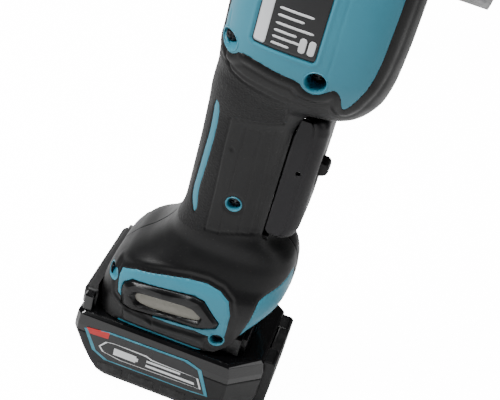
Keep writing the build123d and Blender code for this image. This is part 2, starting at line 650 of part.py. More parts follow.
# ======== Paddle, lock-off tab and switch ========
with BuildPart() as paddle_lever:
    with BuildSketch(Plane.XZ):
        Polygon((PADDLE_BACK, PADDLE_Z[0] + 3), (48, PADDLE_Z[0]), (PADDLE_FRONT, PADDLE_Z[0] + 5),
                (PADDLE_FRONT, PADDLE_Z[1] - 8), (49, PADDLE_Z[1]), (PADDLE_BACK, PADDLE_Z[1]), align=None)
    extrude(amount=PADDLE_HALF, both=True)
    fillet(paddle_lever.faces().sort_by(Axis.X)[-1].edges().filter_by(Axis.Z), 4)
    add(block((0, PADDLE_FRONT - PADDLE_WALL), (PADDLE_WALL - PADDLE_HALF, PADDLE_HALF - PADDLE_WALL),
              (PADDLE_Z[0] + 6, PADDLE_Z[1] - 8)), mode=Mode.SUBTRACT)
    add(block((0, 60), (-TAB_HALF - CLEAR, TAB_HALF + CLEAR), SLOT_Z), mode=Mode.SUBTRACT)
    add(block((PLUNGER_TIP + 0.3, PADDLE_FRONT - 1), (-6, 6), (SWITCH_Z - 2, SWITCH_Z + 2)))
    add(block((PADDLE_BACK, 46), (-EAR_HALF, EAR_HALF), (PADDLE_Z[1] - 7, PADDLE_PIVOT[1] + 3.6)))
    add(rod(along_y(*PADDLE_PIVOT), PIVOT_R + RUN, -20, 20), mode=Mode.SUBTRACT)
    add(rod(along_y(*TAB_PIVOT), TAB_PIN_R, -30, 30), mode=Mode.SUBTRACT)
keep(paddle_lever, "paddle_lever")

with BuildPart() as paddle_pin:
    add(rod(along_y(*PADDLE_PIVOT), PIVOT_R, -13.5, 13.5))
keep(paddle_pin, "paddle_pin")

with BuildPart() as lock_off_pin:
    add(rod(along_y(*TAB_PIVOT), TAB_PIN_R, -PADDLE_HALF + 0.4, PADDLE_HALF - 0.4))
keep(lock_off_pin, "lock_off_pin")

with BuildPart() as lock_off_lever:
    with BuildSketch(Plane.XZ):
        Polygon((41.5, 163.5), (46, 163.5), (47.2, 174), (51.5, 175), (57, 174.5), (58.5, 177), (58, 184),
                (54, 186.5), (47, 185.5), (41.2, 184), align=None)
    extrude(amount=TAB_HALF, both=True)
    add(rod(along_y(*TAB_PIVOT), TAB_PIN_R + RUN, -30, 30), mode=Mode.SUBTRACT)
keep(lock_off_lever, "lock_off_lever")

with BuildPart() as paddle_spring:
    add(coil_spring(4, 0.5, 2.6, 17.6, (CHANNEL_FLOOR + 0.7, 0, 198)))
keep(paddle_spring, "paddle_spring")

with BuildPart() as switch_body:
    add(block(SWITCH_BOX[:2], (-SWITCH_HALF, SWITCH_HALF), SWITCH_BOX[2:]))
    fillet(switch_body.edges().filter_by(Axis.Y), 1.5)
    add(rod(along_x(0, SWITCH_Z), PLUNGER_R + RUN, 10, 40), mode=Mode.SUBTRACT)
keep(switch_body, "switch_body")

with BuildPart() as switch_plunger:
    add(rod(along_x(0, SWITCH_Z), PLUNGER_R, 16, PLUNGER_TIP))
    fillet(switch_plunger.faces().sort_by(Axis.X)[-1].edges(), 1.2)
keep(switch_plunger, "switch_plunger")

# ======== Electronics ========
with BuildPart() as controller:
    add(block((-32, 19), (-24, 24), (68, 84)))
    fillet(controller.edges().filter_by(Axis.Z), 3)
    with BuildSketch(Plane.XY.offset(84)):
        with GridLocations(9, 11, 5, 3):
            Rectangle(2.2, 8)
    extrude(amount=3)
keep(controller, "controller")

with BuildPart() as terminal_block:
    add(block((-40, 43), (-32.5, 32.5), (PASSAGE_TOP - 1.6, PASSAGE_TOP)) & shell_body)
    for side in (-1, 1):
        reach = sorted((side * (HEAD_RAIL_HALF + CLEAR), side * 32.5))
        add(block((-40, 43), reach, (BATT_TOP + 2, PASSAGE_TOP - 1)))
        lip = sorted((side * (HEAD_NECK_HALF + CLEAR), side * 32.5))
        add(block((-40, 43), lip, (BATT_TOP + 2, RAIL_STEP_Z - CLEAR)))
    for y in (-15, -5, 5, 15):
        add(block((-32, -20), (y - 0.4, y + 0.4), (BATT_TOP + 8, PASSAGE_TOP - 1)))
keep(terminal_block, "terminal_block")

with BuildPart() as wire_harness:
    for y in (-6, 0, 6):
        add(rod(along_z(-9, y), 1.3, 87.1, 240))
    for y in (-3, 3):
        add(rod(along_z(4, y), 1.0, 87.5, SWITCH_BOX[2]))
keep(wire_harness, "wire_harness")

# ======== Battery ========
LOWER_PROFILE = [(-28, 0), (50, 0), (58, 4), (BATT_FRONT, 16), (BATT_FRONT, BATT_SPLIT), (BATT_BACK, BATT_SPLIT),
                 (-50, 17), (-43, 6.5), (-36, 1.5)]
CELL_ROOM = [(-33.5, 2.6), (50, 2.6), (58, 5), (60, 17), (60, 60), (-55, 60), (-55, BATT_SPLIT), (-48, 18),
             (-41.2, 7.4)]


def battery_body(low, high, inset):
    """Battery's outline between two heights, with its corners cut off at the button end."""
    with BuildPart() as body:
        with BuildSketch(Plane.XY.offset(low)):
            Polygon((BATT_BACK + inset, -BATT_HALF + inset + 3), (BATT_BACK + inset + 3, -BATT_HALF + inset),
                    (43, -BATT_HALF + inset), (BATT_FRONT - inset, -27 + inset / 2),
                    (BATT_FRONT - inset, 27 - inset / 2), (43, BATT_HALF - inset),
                    (BATT_BACK + inset + 3, BATT_HALF - inset), (BATT_BACK + inset, BATT_HALF - inset - 3),
                    align=None)
        extrude(amount=high - low)
    return body.part


with BuildPart() as battery_case_lower:
    add(battery_body(0, BATT_SPLIT, 0) & across(LOWER_PROFILE, 60))
    add(block((BATT_FRONT - 2, BATT_FRONT + BATT_BOSS), (-24, 24), (6, BATT_SPLIT)))
    add(battery_body(0, 60, BATT_WALL) & across(CELL_ROOM, CELL_LEN / 2 + 1), mode=Mode.SUBTRACT)
    add(block((BATT_FRONT - 3, BIG), (-BUTTON_HALF - CLEAR, BUTTON_HALF + CLEAR), (12, 60)), mode=Mode.SUBTRACT)
keep(battery_case_lower, "battery_case_lower")

with BuildPart() as battery_case_upper:
    add(battery_body(BATT_SPLIT, BATT_TOP, 0))
    add(block((BATT_FRONT - 2, BATT_FRONT + BATT_BOSS), (-24, 24), (BATT_SPLIT, BATT_TOP - 3)))
    add(block(RAIL_X, (-HEAD_NECK_HALF, HEAD_NECK_HALF), (BATT_TOP, RAIL_TOP_Z - 1)))
    add(block(RAIL_X, (-HEAD_RAIL_HALF, HEAD_RAIL_HALF), (RAIL_STEP_Z, RAIL_TOP_Z - 1)))
    add(block((BATT_BACK + 3, BATT_FRONT - 4), (-BATT_HALF + 4, BATT_HALF - 4), (0, BATT_TOP - 2.2)) & battery_body(
        BATT_SPLIT, BATT_TOP, BATT_WALL), mode=Mode.SUBTRACT)
    for y in (-15, -5, 5, 15):
        add(block((RAIL_X[0] - 1, -18), (y - 1.4, y + 1.4), (BATT_TOP + 3, 70)), mode=Mode.SUBTRACT)
    add(block((BATT_FRONT - 12, BIG), (-BUTTON_HALF - CLEAR, BUTTON_HALF + CLEAR), (0, BATT_TOP - 3)),
        mode=Mode.SUBTRACT)
keep(battery_case_upper, "battery_case_upper")

with BuildPart() as battery_cells:
    for row in CELL_ROWS:
        for column in range(5):
            add(rod(along_y(CELL_FIRST_X + CELL_PITCH * column - CELL_SHIFT * (row > 20), row), CELL_R, -CELL_LEN / 2,
                    CELL_LEN / 2))
keep(battery_cells, "battery_cells")

with BuildPart() as battery_button:
    add(block((BATT_FRONT - 1.5, BATT_FRONT + 4.4), (-BUTTON_HALF, BUTTON_HALF), (19, BATT_TOP - 5)))
    fillet(battery_button.edges().filter_by(Axis.X), 2)
keep(battery_button, "battery_button")

with BuildPart() as battery_label:
    add(across([(-50, 31), (-43, 17.5), (42, 17.5), (34, 31)], BATT_HALF + 0.4, BATT_HALF))
keep_group(battery_label.part.solids(), "battery_label")
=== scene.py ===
# %% [markdown]
# # A cordless angle grinder, standing on its battery
# The measured solids come in first as a fixed frame. Every surface made here is a function of two
# parameters, worked out with numpy as whole arrays, and it rides on one of the frame's bodies. The
# body shells, paddle and battery cases are made again with their real curves, because the measured
# solids are cut straight between levels. Gears, bearings, guard and head keep their measured shape and
# get a finish of their own.
# %% Load the frame
import json

import bpy
import numpy as np
from mathutils import Matrix, Vector


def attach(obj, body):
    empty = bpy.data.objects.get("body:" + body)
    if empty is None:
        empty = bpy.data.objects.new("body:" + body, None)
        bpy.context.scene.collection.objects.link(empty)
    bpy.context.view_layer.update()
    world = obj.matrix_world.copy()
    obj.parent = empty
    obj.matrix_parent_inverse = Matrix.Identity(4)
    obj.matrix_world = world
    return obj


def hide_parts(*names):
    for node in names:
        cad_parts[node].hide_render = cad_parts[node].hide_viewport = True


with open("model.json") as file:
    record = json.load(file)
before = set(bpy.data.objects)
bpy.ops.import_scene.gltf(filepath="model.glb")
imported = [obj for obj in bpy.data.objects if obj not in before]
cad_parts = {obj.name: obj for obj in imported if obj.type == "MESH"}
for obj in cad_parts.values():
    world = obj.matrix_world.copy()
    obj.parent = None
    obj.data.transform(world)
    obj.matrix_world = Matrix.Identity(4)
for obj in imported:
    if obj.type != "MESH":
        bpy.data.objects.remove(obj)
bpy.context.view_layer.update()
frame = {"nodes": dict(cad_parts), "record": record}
MM = 0.001

# %% [markdown]
# ## Camera, floor and light
# The camera looks down on the tool from in front of its nameplate, rolled so that the grip leans. Four
# soft boxes and a pale surround give plastic its broad, soft highlights.
# %% Camera
CAMERA_PLACE = (0.0801, -0.5396, 0.5277)
CAMERA_AXES = ((0.93593, 0.26843, 0.22798), (-0.34069, 0.52605, 0.77923), (0.08924, -0.80698, 0.58380))
CAMERA_LENS = 82.5


def add_camera(place, axes, lens):
    """A camera from its place and its right, up and backward directions, which are its matrix's columns."""
    camera = bpy.data.objects.new("camera", bpy.data.cameras.new("camera"))
    camera.data.lens = lens
    camera.matrix_world = Matrix.Translation(place) @ Matrix(axes).transposed().to_4x4()
    bpy.context.scene.collection.objects.link(camera)
    bpy.context.scene.camera = camera
    return camera


add_camera(CAMERA_PLACE, CAMERA_AXES, CAMERA_LENS)

# %% Lights and surround
TARGET = Vector((0.02, 0.0, 0.14))


def soft_box(name, place, width, height, power, colour=(1.0, 1.0, 1.0)):
    """A rectangular area light that faces the tool."""
    light = bpy.data.lights.new(name, "AREA")
    light.shape = "RECTANGLE"
    light.size = width
    light.size_y = height
    light.energy = power
    light.color = colour
    box = bpy.data.objects.new(name, light)
    box.location = place
    box.rotation_mode = "QUATERNION"
    box.rotation_quaternion = (TARGET - Vector(place)).to_track_quat("-Z", "Y")
    bpy.context.scene.collection.objects.link(box)
    return box


soft_box("key_light", (-0.55, -0.35, 1.05), 0.42, 0.3, 18.0)
soft_box("top_light", (0.12, 0.05, 1.15), 0.5, 0.28, 15.0)
soft_box("side_light", (1.05, -0.35, 0.55), 0.35, 0.9, 3.0)
soft_box("back_light", (-0.5, 0.95, 0.6), 0.8, 0.5, 5.0)

world = bpy.data.worlds.new("surround")
world.use_nodes = True
bpy.context.scene.world = world
world.node_tree.nodes["Background"].inputs["Color"].default_value = (1.0, 1.0, 1.0, 1.0)
world.node_tree.nodes["Background"].inputs["Strength"].default_value = 0.07

# %% [markdown]
# ## Shared shader groups
# Moulded plastic, rubber and cast metal all need fine grain, slow drift in tone and worn edges. Each is
# one node group with named inputs, placed in every material with that material's own values.


# %% Node helpers
def new_group(name, inputs, outputs):
    """An empty shader node group with float inputs, and outputs given as (name, kind)."""
    group = bpy.data.node_groups.new(name, "ShaderNodeTree")
    for socket, value in inputs:
        group.interface.new_socket(socket, in_out="INPUT", socket_type="NodeSocketFloat").default_value = value
    for socket, kind in outputs:
        group.interface.new_socket(socket, in_out="OUTPUT", socket_type=kind)
    return group, group.nodes.new("NodeGroupInput"), group.nodes.new("NodeGroupOutput")


def noise(tree, coordinates, scale, detail=2.0, roughness=0.5):
    """A noise texture read from given coordinates. Scale is a socket or a number."""
    node = tree.nodes.new("ShaderNodeTexNoise")
    tree.links.new(coordinates, node.inputs["Vector"])
    node.inputs["Detail"].default_value = detail
    node.inputs["Roughness"].default_value = roughness
    if hasattr(scale, "node"):
        tree.links.new(scale, node.inputs["Scale"])
    else:
        node.inputs["Scale"].default_value = scale
    return node.outputs["Fac"]


def remap(tree, value, low, high, out_low=0.0, out_high=1.0):
    """Stretches a value from one range to another, smoothly, and holds it there."""
    node = tree.nodes.new("ShaderNodeMapRange")
    node.interpolation_type = "SMOOTHSTEP"
    tree.links.new(value, node.inputs["Value"])
    for socket, number in zip(("From Min", "From Max", "To Min", "To Max"), (low, high, out_low, out_high)):
        node.inputs[socket].default_value = number
    return node.outputs["Result"]


def maths(tree, operation, *values):
    """One arithmetic node. Each value is a socket or a number."""
    node = tree.nodes.new("ShaderNodeMath")
    node.operation = operation
    for socket, value in zip(node.inputs, values):
        if hasattr(value, "node"):
            tree.links.new(value, socket)
        else:
            socket.default_value = value
    return node.outputs[0]


# %% Grain: fine height, slow tone and specks of dust
grain_group, grain_in, grain_out = new_group(
    "moulded_grain", [("Scale", 2500.0), ("Patch Scale", 18.0)],
    [("Height", "NodeSocketFloat"), ("Tone", "NodeSocketFloat"), ("Dust", "NodeSocketFloat")])
grain_place = grain_group.nodes.new("ShaderNodeTexCoord").outputs["Object"]
grain_fine = noise(grain_group, grain_place, grain_in.outputs["Scale"], 3.0, 0.6)
grain_slow = noise(grain_group, grain_place, grain_in.outputs["Patch Scale"], 4.0, 0.55)
grain_specks = noise(grain_group, grain_place, 900.0, 2.0, 0.7)
grain_group.links.new(grain_fine, grain_out.inputs["Height"])
grain_group.links.new(remap(grain_group, grain_slow, 0.3, 0.7), grain_out.inputs["Tone"])
grain_group.links.new(maths(grain_group, "MULTIPLY", remap(grain_group, grain_specks, 0.66, 0.74), grain_slow),
                      grain_out.inputs["Dust"])

# %% Worn edges: where the surface turns sharply, broken up by noise
wear_group, wear_in, wear_out = new_group("worn_edges", [("Patch Scale", 140.0), ("Amount", 0.5)],
                                          [("Mask", "NodeSocketFloat")])
wear_point = wear_group.nodes.new("ShaderNodeNewGeometry").outputs["Pointiness"]
wear_place = wear_group.nodes.new("ShaderNodeTexCoord").outputs["Object"]
wear_noise = noise(wear_group, wear_place, wear_in.outputs["Patch Scale"], 5.0, 0.65)
wear_breaks = remap(wear_group, wear_noise, 0.42, 0.62)
wear_edges = remap(wear_group, wear_point, 0.52, 0.6)
wear_both = maths(wear_group, "MULTIPLY", wear_edges, wear_breaks)
wear_group.links.new(maths(wear_group, "MULTIPLY", wear_both, wear_in.outputs["Amount"]), wear_out.inputs["Mask"])

# %% Leather-like stipple of the rubber grip
stipple_group, stipple_in, stipple_out = new_group("rubber_stipple", [("Scale", 900.0)],
                                                   [("Height", "NodeSocketFloat")])
stipple_cells = stipple_group.nodes.new("ShaderNodeTexVoronoi")
stipple_cells.feature = "SMOOTH_F1"
stipple_group.links.new(stipple_group.nodes.new("ShaderNodeTexCoord").outputs["Object"],
                        stipple_cells.inputs["Vector"])
stipple_group.links.new(stipple_in.outputs["Scale"], stipple_cells.inputs["Scale"])
stipple_group.links.new(remap(stipple_group, stipple_cells.outputs["Distance"], 0.1, 0.6, 1.0, 0.0),
                        stipple_out.inputs["Height"])
print("groups:", [g.name for g in bpy.data.node_groups])

# %% [markdown]
# ## Finishes
# One function makes every finish from the shared groups: a base colour that drifts between two tones,
# a roughness that follows the same drift, fine bump, paler worn edges and a little dust.


# %% Finish maker
def group_node(tree, group, **values):
    """A group placed in a material, with this material's own values."""
    node = tree.nodes.new("ShaderNodeGroup")
    node.node_tree = group
    for name, value in values.items():
        node.inputs[name.replace("_", " ")].default_value = value
    return node


def mix_colour(tree, mask, first, second):
    """First where the mask is 0 and second where it is 1. Each is a socket or a colour."""
    node = tree.nodes.new("ShaderNodeMix")
    node.data_type = "RGBA"
    tree.links.new(mask, node.inputs["Factor"])
    for socket, value in ((node.inputs[6], first), (node.inputs[7], second)):
        if hasattr(value, "node"):
            tree.links.new(value, socket)
        else:
            socket.default_value = (*value, 1.0)
    return node.outputs[2]


def finish(name, dark, light, rough, metallic=0.0, grain=2500.0, depth=0.05, patch=18.0, worn=None, wear=0.0,
           dust=0.0, coat=0.0, stipple=0.0, stipple_scale=900.0, mark=None, rough_spread=0.06, specular=0.26):
    """A material whose colour and roughness drift between two values, with grain, wear and dust."""
    material = bpy.data.materials.new(name)
    material.use_nodes = True
    tree = material.node_tree
    shader = tree.nodes["Principled BSDF"]
    shader.inputs["Metallic"].default_value = metallic
    shader.inputs["Specular IOR Level"].default_value = specular
    shader.inputs["Coat Weight"].default_value = coat
    shader.inputs["Coat Roughness"].default_value = 0.12
    grains = group_node(tree, grain_group, Scale=grain, Patch_Scale=patch)
    colour = mix_colour(tree, grains.outputs["Tone"], dark, light)
    roughness = remap(tree, grains.outputs["Tone"], 0.0, 1.0, rough - rough_spread, rough + rough_spread)
    if wear > 0:
        edges = group_node(tree, wear_group, Amount=wear)
        colour = mix_colour(tree, edges.outputs["Mask"], colour, worn or light)
    if dust > 0:
        specks = maths(tree, "MULTIPLY", grains.outputs["Dust"], dust)
        colour = mix_colour(tree, specks, colour, (0.35, 0.34, 0.32))
        roughness = maths(tree, "ADD", roughness, maths(tree, "MULTIPLY", specks, 0.3))
    height = grains.outputs["Height"]
    if stipple > 0:
        cells = group_node(tree, stipple_group, Scale=stipple_scale).outputs["Height"]
        if mark:
            attribute = tree.nodes.new("ShaderNodeAttribute")
            attribute.attribute_name = mark
            cells = maths(tree, "MULTIPLY", cells, attribute.outputs["Fac"])
            roughness = maths(tree, "ADD", roughness, maths(tree, "MULTIPLY", attribute.outputs["Fac"], 0.12))
        height = maths(tree, "ADD", height, maths(tree, "MULTIPLY", cells, stipple))
    bump = tree.nodes.new("ShaderNodeBump")
    bump.inputs["Strength"].default_value = 1.0
    bump.inputs["Distance"].default_value = depth * MM
    tree.links.new(height, bump.inputs["Height"])
    tree.links.new(bump.outputs["Normal"], shader.inputs["Normal"])
    tree.links.new(colour, shader.inputs["Base Color"])
    tree.links.new(roughness, shader.inputs["Roughness"])
    return material


# %% Every finish of the tool
LOOKS = {
    "teal_plastic": ((0.035, 0.2, 0.28), (0.043, 0.225, 0.31), 0.4,
        dict(depth=0.03, worn=(0.12, 0.38, 0.45), wear=0.35, dust=0.06)),
    "black_rubber": ((0.0022, 0.0022, 0.0025), (0.0042, 0.0042, 0.0046), 0.43,
        dict(depth=0.05, worn=(0.05, 0.05, 0.05), wear=0.3, dust=0.10, stipple=2.6, mark="stipple")),
    "black_plastic": ((0.0018, 0.0018, 0.0022), (0.0035, 0.0035, 0.004), 0.36,
        dict(depth=0.04, worn=(0.05, 0.05, 0.05), wear=0.4, dust=0.08)),
    "gloss_black": ((0.0015, 0.0015, 0.0018), (0.003, 0.003, 0.0034), 0.16,
        dict(depth=0.01, coat=0.4, dust=0.05, rough_spread=0.04)),
    "charcoal_plastic": ((0.0042, 0.0037, 0.0052), (0.0068, 0.0062, 0.008), 0.45,
        dict(depth=0.05, worn=(0.06, 0.06, 0.065), wear=0.4, dust=0.06)),
    "label_film": ((0.008, 0.008, 0.009), (0.012, 0.012, 0.013), 0.3, dict(depth=0.01, coat=0.2)),
    "mesh_grey": ((0.26, 0.25, 0.22), (0.36, 0.35, 0.31), 0.7, dict(grain=1500.0, depth=0.2)),
    "screw_steel": ((0.02, 0.02, 0.021), (0.04, 0.04, 0.042), 0.35,
        dict(metallic=0.7, worn=(0.3, 0.3, 0.3), wear=0.6)),
    "lamination_steel": ((0.16, 0.16, 0.17), (0.24, 0.24, 0.25), 0.45, dict(metallic=1.0)),
    "copper_wire": ((0.5, 0.17, 0.06), (0.62, 0.24, 0.1), 0.3, dict(metallic=1.0, coat=0.3)),
    "circuit_board": ((0.01, 0.09, 0.03), (0.02, 0.13, 0.05), 0.4, {}),
    "bearing_steel": ((0.42, 0.42, 0.43), (0.52, 0.52, 0.53), 0.22, dict(metallic=1.0)),
    "bright_steel": ((0.45, 0.45, 0.46), (0.58, 0.58, 0.59), 0.26,
        dict(metallic=1.0, grain=1200.0, depth=0.02)),
    "gear_steel": ((0.16, 0.16, 0.17), (0.26, 0.26, 0.27), 0.35, dict(metallic=1.0)),
    "cast_aluminium": ((0.22, 0.225, 0.235), (0.31, 0.315, 0.325), 0.45,
        dict(metallic=1.0, grain=1500.0, depth=0.12, dust=0.05)),
    "wire_cover": ((0.25, 0.02, 0.02), (0.33, 0.03, 0.03), 0.5, {}),
    "guard_paint": ((0.018, 0.018, 0.02), (0.028, 0.028, 0.03), 0.4,
        dict(grain=1800.0, depth=0.1, worn=(0.3, 0.3, 0.3), wear=0.5, dust=0.1)),
    "cell_wrap": ((0.02, 0.12, 0.2), (0.03, 0.16, 0.26), 0.3, dict(coat=0.3)),
    "label_white": ((0.62, 0.63, 0.64), (0.7, 0.71, 0.72), 0.35, dict(depth=0.01)),
    "label_red": ((0.42, 0.02, 0.02), (0.5, 0.03, 0.03), 0.35, dict(depth=0.01)),
    "label_silver": ((0.55, 0.56, 0.58), (0.66, 0.67, 0.69), 0.25, dict(metallic=0.6, depth=0.01)),
    "floor_paper": ((0.83, 0.83, 0.83), (0.86, 0.86, 0.86), 0.75, dict(grain=900.0, depth=0.05, patch=3.0)),
}
FINISHES = {name: finish(name, dark, light, rough, **more)
            for name, (dark, light, rough, more) in LOOKS.items()}
slots = {entry["node"]: entry["material_slot"] for entry in frame["record"]["subparts"]}
for node, solid in frame["nodes"].items():
    solid.data.materials.clear()
    solid.data.materials.append(FINISHES[slots[node]])
print("finishes:", len(FINISHES))

# %% [markdown]
# ## Arrays into meshes
# A grid of points becomes triangles, a field that is positive on the wanted side trims them along its
# zero line, and the result is poured into a mesh with foreach_set.


# %% Grid, trim and mesh helpers
def grid_triangles(rows, columns, closed=False):
    """Two triangles for each cell of a rows by columns grid, wound so that rows x columns faces out."""
    wide = columns if closed else columns - 1
    row, column = np.meshgrid(np.arange(rows - 1), np.arange(wide), indexing="ij")
    a = row * columns + column
    b = row * columns + (column + 1) % columns
    c, d = b + columns, a + columns
    return np.concatenate([np.stack([a, b, c], -1).reshape(-1, 3), np.stack([a, c, d], -1).reshape(-1, 3)])


def trimmed(table, triangles, field):
    """The part of a triangle mesh where the field is positive. A triangle that the zero line crosses is
    cut at the points where the field, taken as straight along each edge, is nought. Each row of the
    table is a vertex with its place and everything else that is carried along."""
    inside = field > 0
    count = inside[triangles].sum(1)
    whole = triangles[count == 3]
    cut = triangles[(count == 1) | (count == 2)]
    odd_is_inside = inside[cut].sum(1) == 1
    odd = np.argmax(inside[cut] == odd_is_inside[:, None], 1)
    turned = cut[np.arange(len(cut))[:, None], (odd[:, None] + np.arange(3)) % 3]
    a, b, c = turned.T
    ends = np.concatenate([np.stack([a, b], 1), np.stack([a, c], 1)])
    unique, place = np.unique(np.sort(ends, 1), axis=0, return_inverse=True)
    share = field[unique[:, 0]] / (field[unique[:, 0]] - field[unique[:, 1]])
    fresh = table[unique[:, 0]] + share[:, None] * (table[unique[:, 1]] - table[unique[:, 0]])
    ab, ac = (place.ravel() + len(table)).reshape(2, -1)
    one, two = odd_is_inside, ~odd_is_inside
    pieces = [whole, np.stack([a, ab, ac], 1)[one], np.stack([b, c, ac], 1)[two], np.stack([b, ac, ab], 1)[two]]
    joined, kept = np.concatenate([table, fresh]), np.concatenate(pieces)
    used, renumbered = np.unique(kept, return_inverse=True)
    return joined[used], renumbered.reshape(-1, 3)


def placed(mesh, slot, body, nodes, finish_name):
    """An object for a mesh. It rides on a body, takes a finish, and may stand for nodes."""
    mesh.materials.append(FINISHES[finish_name or slot])
    made = bpy.data.objects.new(mesh.name, mesh)
    bpy.context.scene.collection.objects.link(made)
    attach(made, body)
    if nodes:
        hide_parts(*nodes)
    return made


def piece(name, points, faces, slot, body="tool", nodes=(), marks=None, flip=False, sharp=None, finish_name=None):
    """A smooth mesh object from points in millimetres and triangles."""
    faces = np.asarray(faces)
    if flip:
        faces = faces[:, ::-1]
    mesh = bpy.data.meshes.new(name)
    mesh.vertices.add(len(points))
    mesh.vertices.foreach_set("co", (np.asarray(points, float) * MM).ravel())
    mesh.loops.add(faces.size)
    mesh.loops.foreach_set("vertex_index", faces.astype(np.int32).ravel())
    mesh.polygons.add(len(faces))
    mesh.polygons.foreach_set("loop_start", np.arange(0, faces.size, faces.shape[1], dtype=np.int32))
    mesh.update(calc_edges=True)
    mesh.validate()
    mesh.polygons.foreach_set("use_smooth", np.ones(len(mesh.polygons), bool))
    if sharp is not None:
        mesh.set_sharp_from_angle(angle=np.radians(sharp))
    for mark, values in (marks or {}).items():
        mesh.attributes.new(mark, "FLOAT", "POINT").data.foreach_set("value", np.asarray(values, np.float32))
    return placed(mesh, slot, body, nodes, finish_name)


def thicken(made, thickness):
    """Gives a surface a wall, inwards from the face that shows."""
    wall = made.modifiers.new("wall", "SOLIDIFY")
    wall.thickness = thickness * MM
    wall.offset = -1.0
    return made


def round_edges(made, width, segments=2, angle=30.0):
    """Rounds a piece's hard edges."""
    bevel = made.modifiers.new("rounded", "BEVEL")
    bevel.width = width * MM
    bevel.segments = segments
    bevel.limit_method = "ANGLE"
    bevel.angle_limit = np.radians(angle)
    return made


def block(name, points, faces, slot, body, nodes, finish_name, bevel, segments, angle):
    """A flat-faced mesh object from points in millimetres and faces of any number of corners."""
    mesh = bpy.data.meshes.new(name)
    mesh.from_pydata((np.array(points) * MM).tolist(), [], faces)
    mesh.update()
    made = placed(mesh, slot, body, nodes, finish_name)
    return round_edges(made, bevel, segments, angle) if bevel > 0 else made


# %% [markdown]
# ## Floor
# A sheet of pale paper, far larger than the view.
# %% Floor sheet
FLOOR_HALF = 3000.0
PAPER_GLOW = 14.0
floor_mesh = bpy.data.meshes.new("floor")
floor_mesh.from_pydata([(sx * FLOOR_HALF * MM, sy * FLOOR_HALF * MM, 0.0) for sx, sy in
                        ((-1, -1), (1, -1), (1, 1), (-1, 1))], [], [(0, 1, 2, 3)])
floor_mesh.materials.append(FINISHES["floor_paper"])
paper = FINISHES["floor_paper"].node_tree
paper_light = paper.nodes.new("ShaderNodeLightPath").outputs["Is Camera Ray"]
paper_inputs = paper.nodes["Principled BSDF"].inputs
paper_inputs["Emission Color"].default_value = (1.0, 1.0, 1.0, 1.0)
paper.links.new(maths(paper, "MULTIPLY", paper_light, PAPER_GLOW), paper_inputs["Emission Strength"])
floor = bpy.data.objects.new("floor", floor_mesh)
bpy.context.scene.collection.objects.link(floor)

# %% [markdown]
# ## The two halves of the body
# The shell is one smooth form from foot to motor case. Level cuts through the grip and through the
# motor case are superellipses, and a soft union joins the two, so the underside of the case flows into
# the grip. For each height and each direction round the middle, the shell's radius is found by halving
# a bracket many times, for the whole grid at once.
# %% Level cuts: height, back, front, middle, half width and squareness at the back and at the front
BODY_CUTS = np.array([(44, -49, 43, 0, 38.3, 5, 5), (47, -50, 44, 0, 38.5, 5, 5),
                      (60, -51, 47, 0, 39.5, 4.5, 4), (75, -48.5, 53.5, 0, 39.2, 4.4, 3.8),
                      (88, -40.5, 58.5, 2, 37.6, 3.8, 3.2), (98, -30.5, 58.8, 6, 33.6, 3.2, 2.8),
                      (107, -23.5, 57.8, 9, 30.6, 2.8, 2.8), (114, -19.8, 55.8, 11, 28.2, 2.7, 2.8),
                      (121, -18, 51, 12, 27, 2.7, 2.8), (128, -16.5, 43, 11, 25.5, 2.8, 2.8),
                      (136, -16, 39, 10, 24.8, 2.8, 2.8), (150, -16, 38, 10, 24.5, 2.8, 2.8),
                      (170, -16, 38, 10, 24.8, 2.8, 2.8), (200, -16.5, 39, 10, 27, 2.8, 2.8),
                      (213, -17, 41, 11, 30, 2.8, 2.8), (225, -16.5, 46, 12, 32, 2.8, 2.8),
                      (238, -15.5, 54, 14, 32.5, 2.8, 2.8), (330, -14, 58, 14, 32, 2.8, 2.8)])
CASE_CUTS = np.array([(210, 10, 55, 36, 16, 2.4, 2.6), (216, 12, 57, 36, 18, 2.4, 2.6),
                      (218, 4, 62, 34, 23, 2.6, 2.6), (222, -5, 67.5, 32, 28, 2.6, 2.7),
                      (228, -12, 72, 30, 31.5, 2.7, 2.8), (236, -15.5, 75.5, 30, 34.5, 2.8, 2.9),
                      (249, -17, 77.5, 30, 36.5, 2.8, 3), (272, -17.4, 78.3, 30, 37, 2.8, 3),
                      (322, -17.4, 78, 30, 36, 2.8, 3)])
CASE_FLOOR = 216.0
CASE_BLEND, BODY_BLEND = 4.0, 7.0
FAR_OUT = 90.0
FOOT_X = 6.0
CASE_TOP = 322.0


def eased(table, z):
    """Table values at given heights: cubic pieces whose slopes are harmonic means, so nothing overshoots."""
    x, y = table[:, 0], table[:, 1:]
    step = np.diff(x)
    rise = np.diff(y, axis=0) / step[:, None]
    same = rise[1:] * rise[:-1] > 0
    total = np.where(same, rise[1:] + rise[:-1], 1.0)
    slope = np.concatenate([rise[:1], np.where(same, 2 * rise[1:] * rise[:-1] / total, 0.0), rise[-1:]])
    z = np.clip(z, x[0], x[-1])
    i = np.clip(np.searchsorted(x, z) - 1, 0, len(x) - 2)
    u, h = ((z - x[i]) / step[i])[..., None], step[i][..., None]
    return ((2 * u**3 - 3 * u**2 + 1) * y[i] + (u**3 - 2 * u**2 + u) * h * slope[i]
            + (3 * u**2 - 2 * u**3) * y[i + 1] + (u**3 - u**2) * h * slope[i + 1])


def cut_distance(table, x, y, z):
    """Rough distance outside a level cut: (|dx/length|^n + |y/half|^n)^(1/n) - 1, times the distance out."""
    back, front, middle, half, n_back, n_front = np.moveaxis(eased(table, z), -1, 0)
    ahead = x > middle
    n = np.where(ahead, n_front, n_back)
    along = np.abs(x - middle) / np.where(ahead, front - middle, middle - back)
    q = (along**n + (np.abs(y) / half)**n)**(1 / n)
    return (q - 1) * np.hypot(x - middle, y) / np.maximum(q, 1e-6)


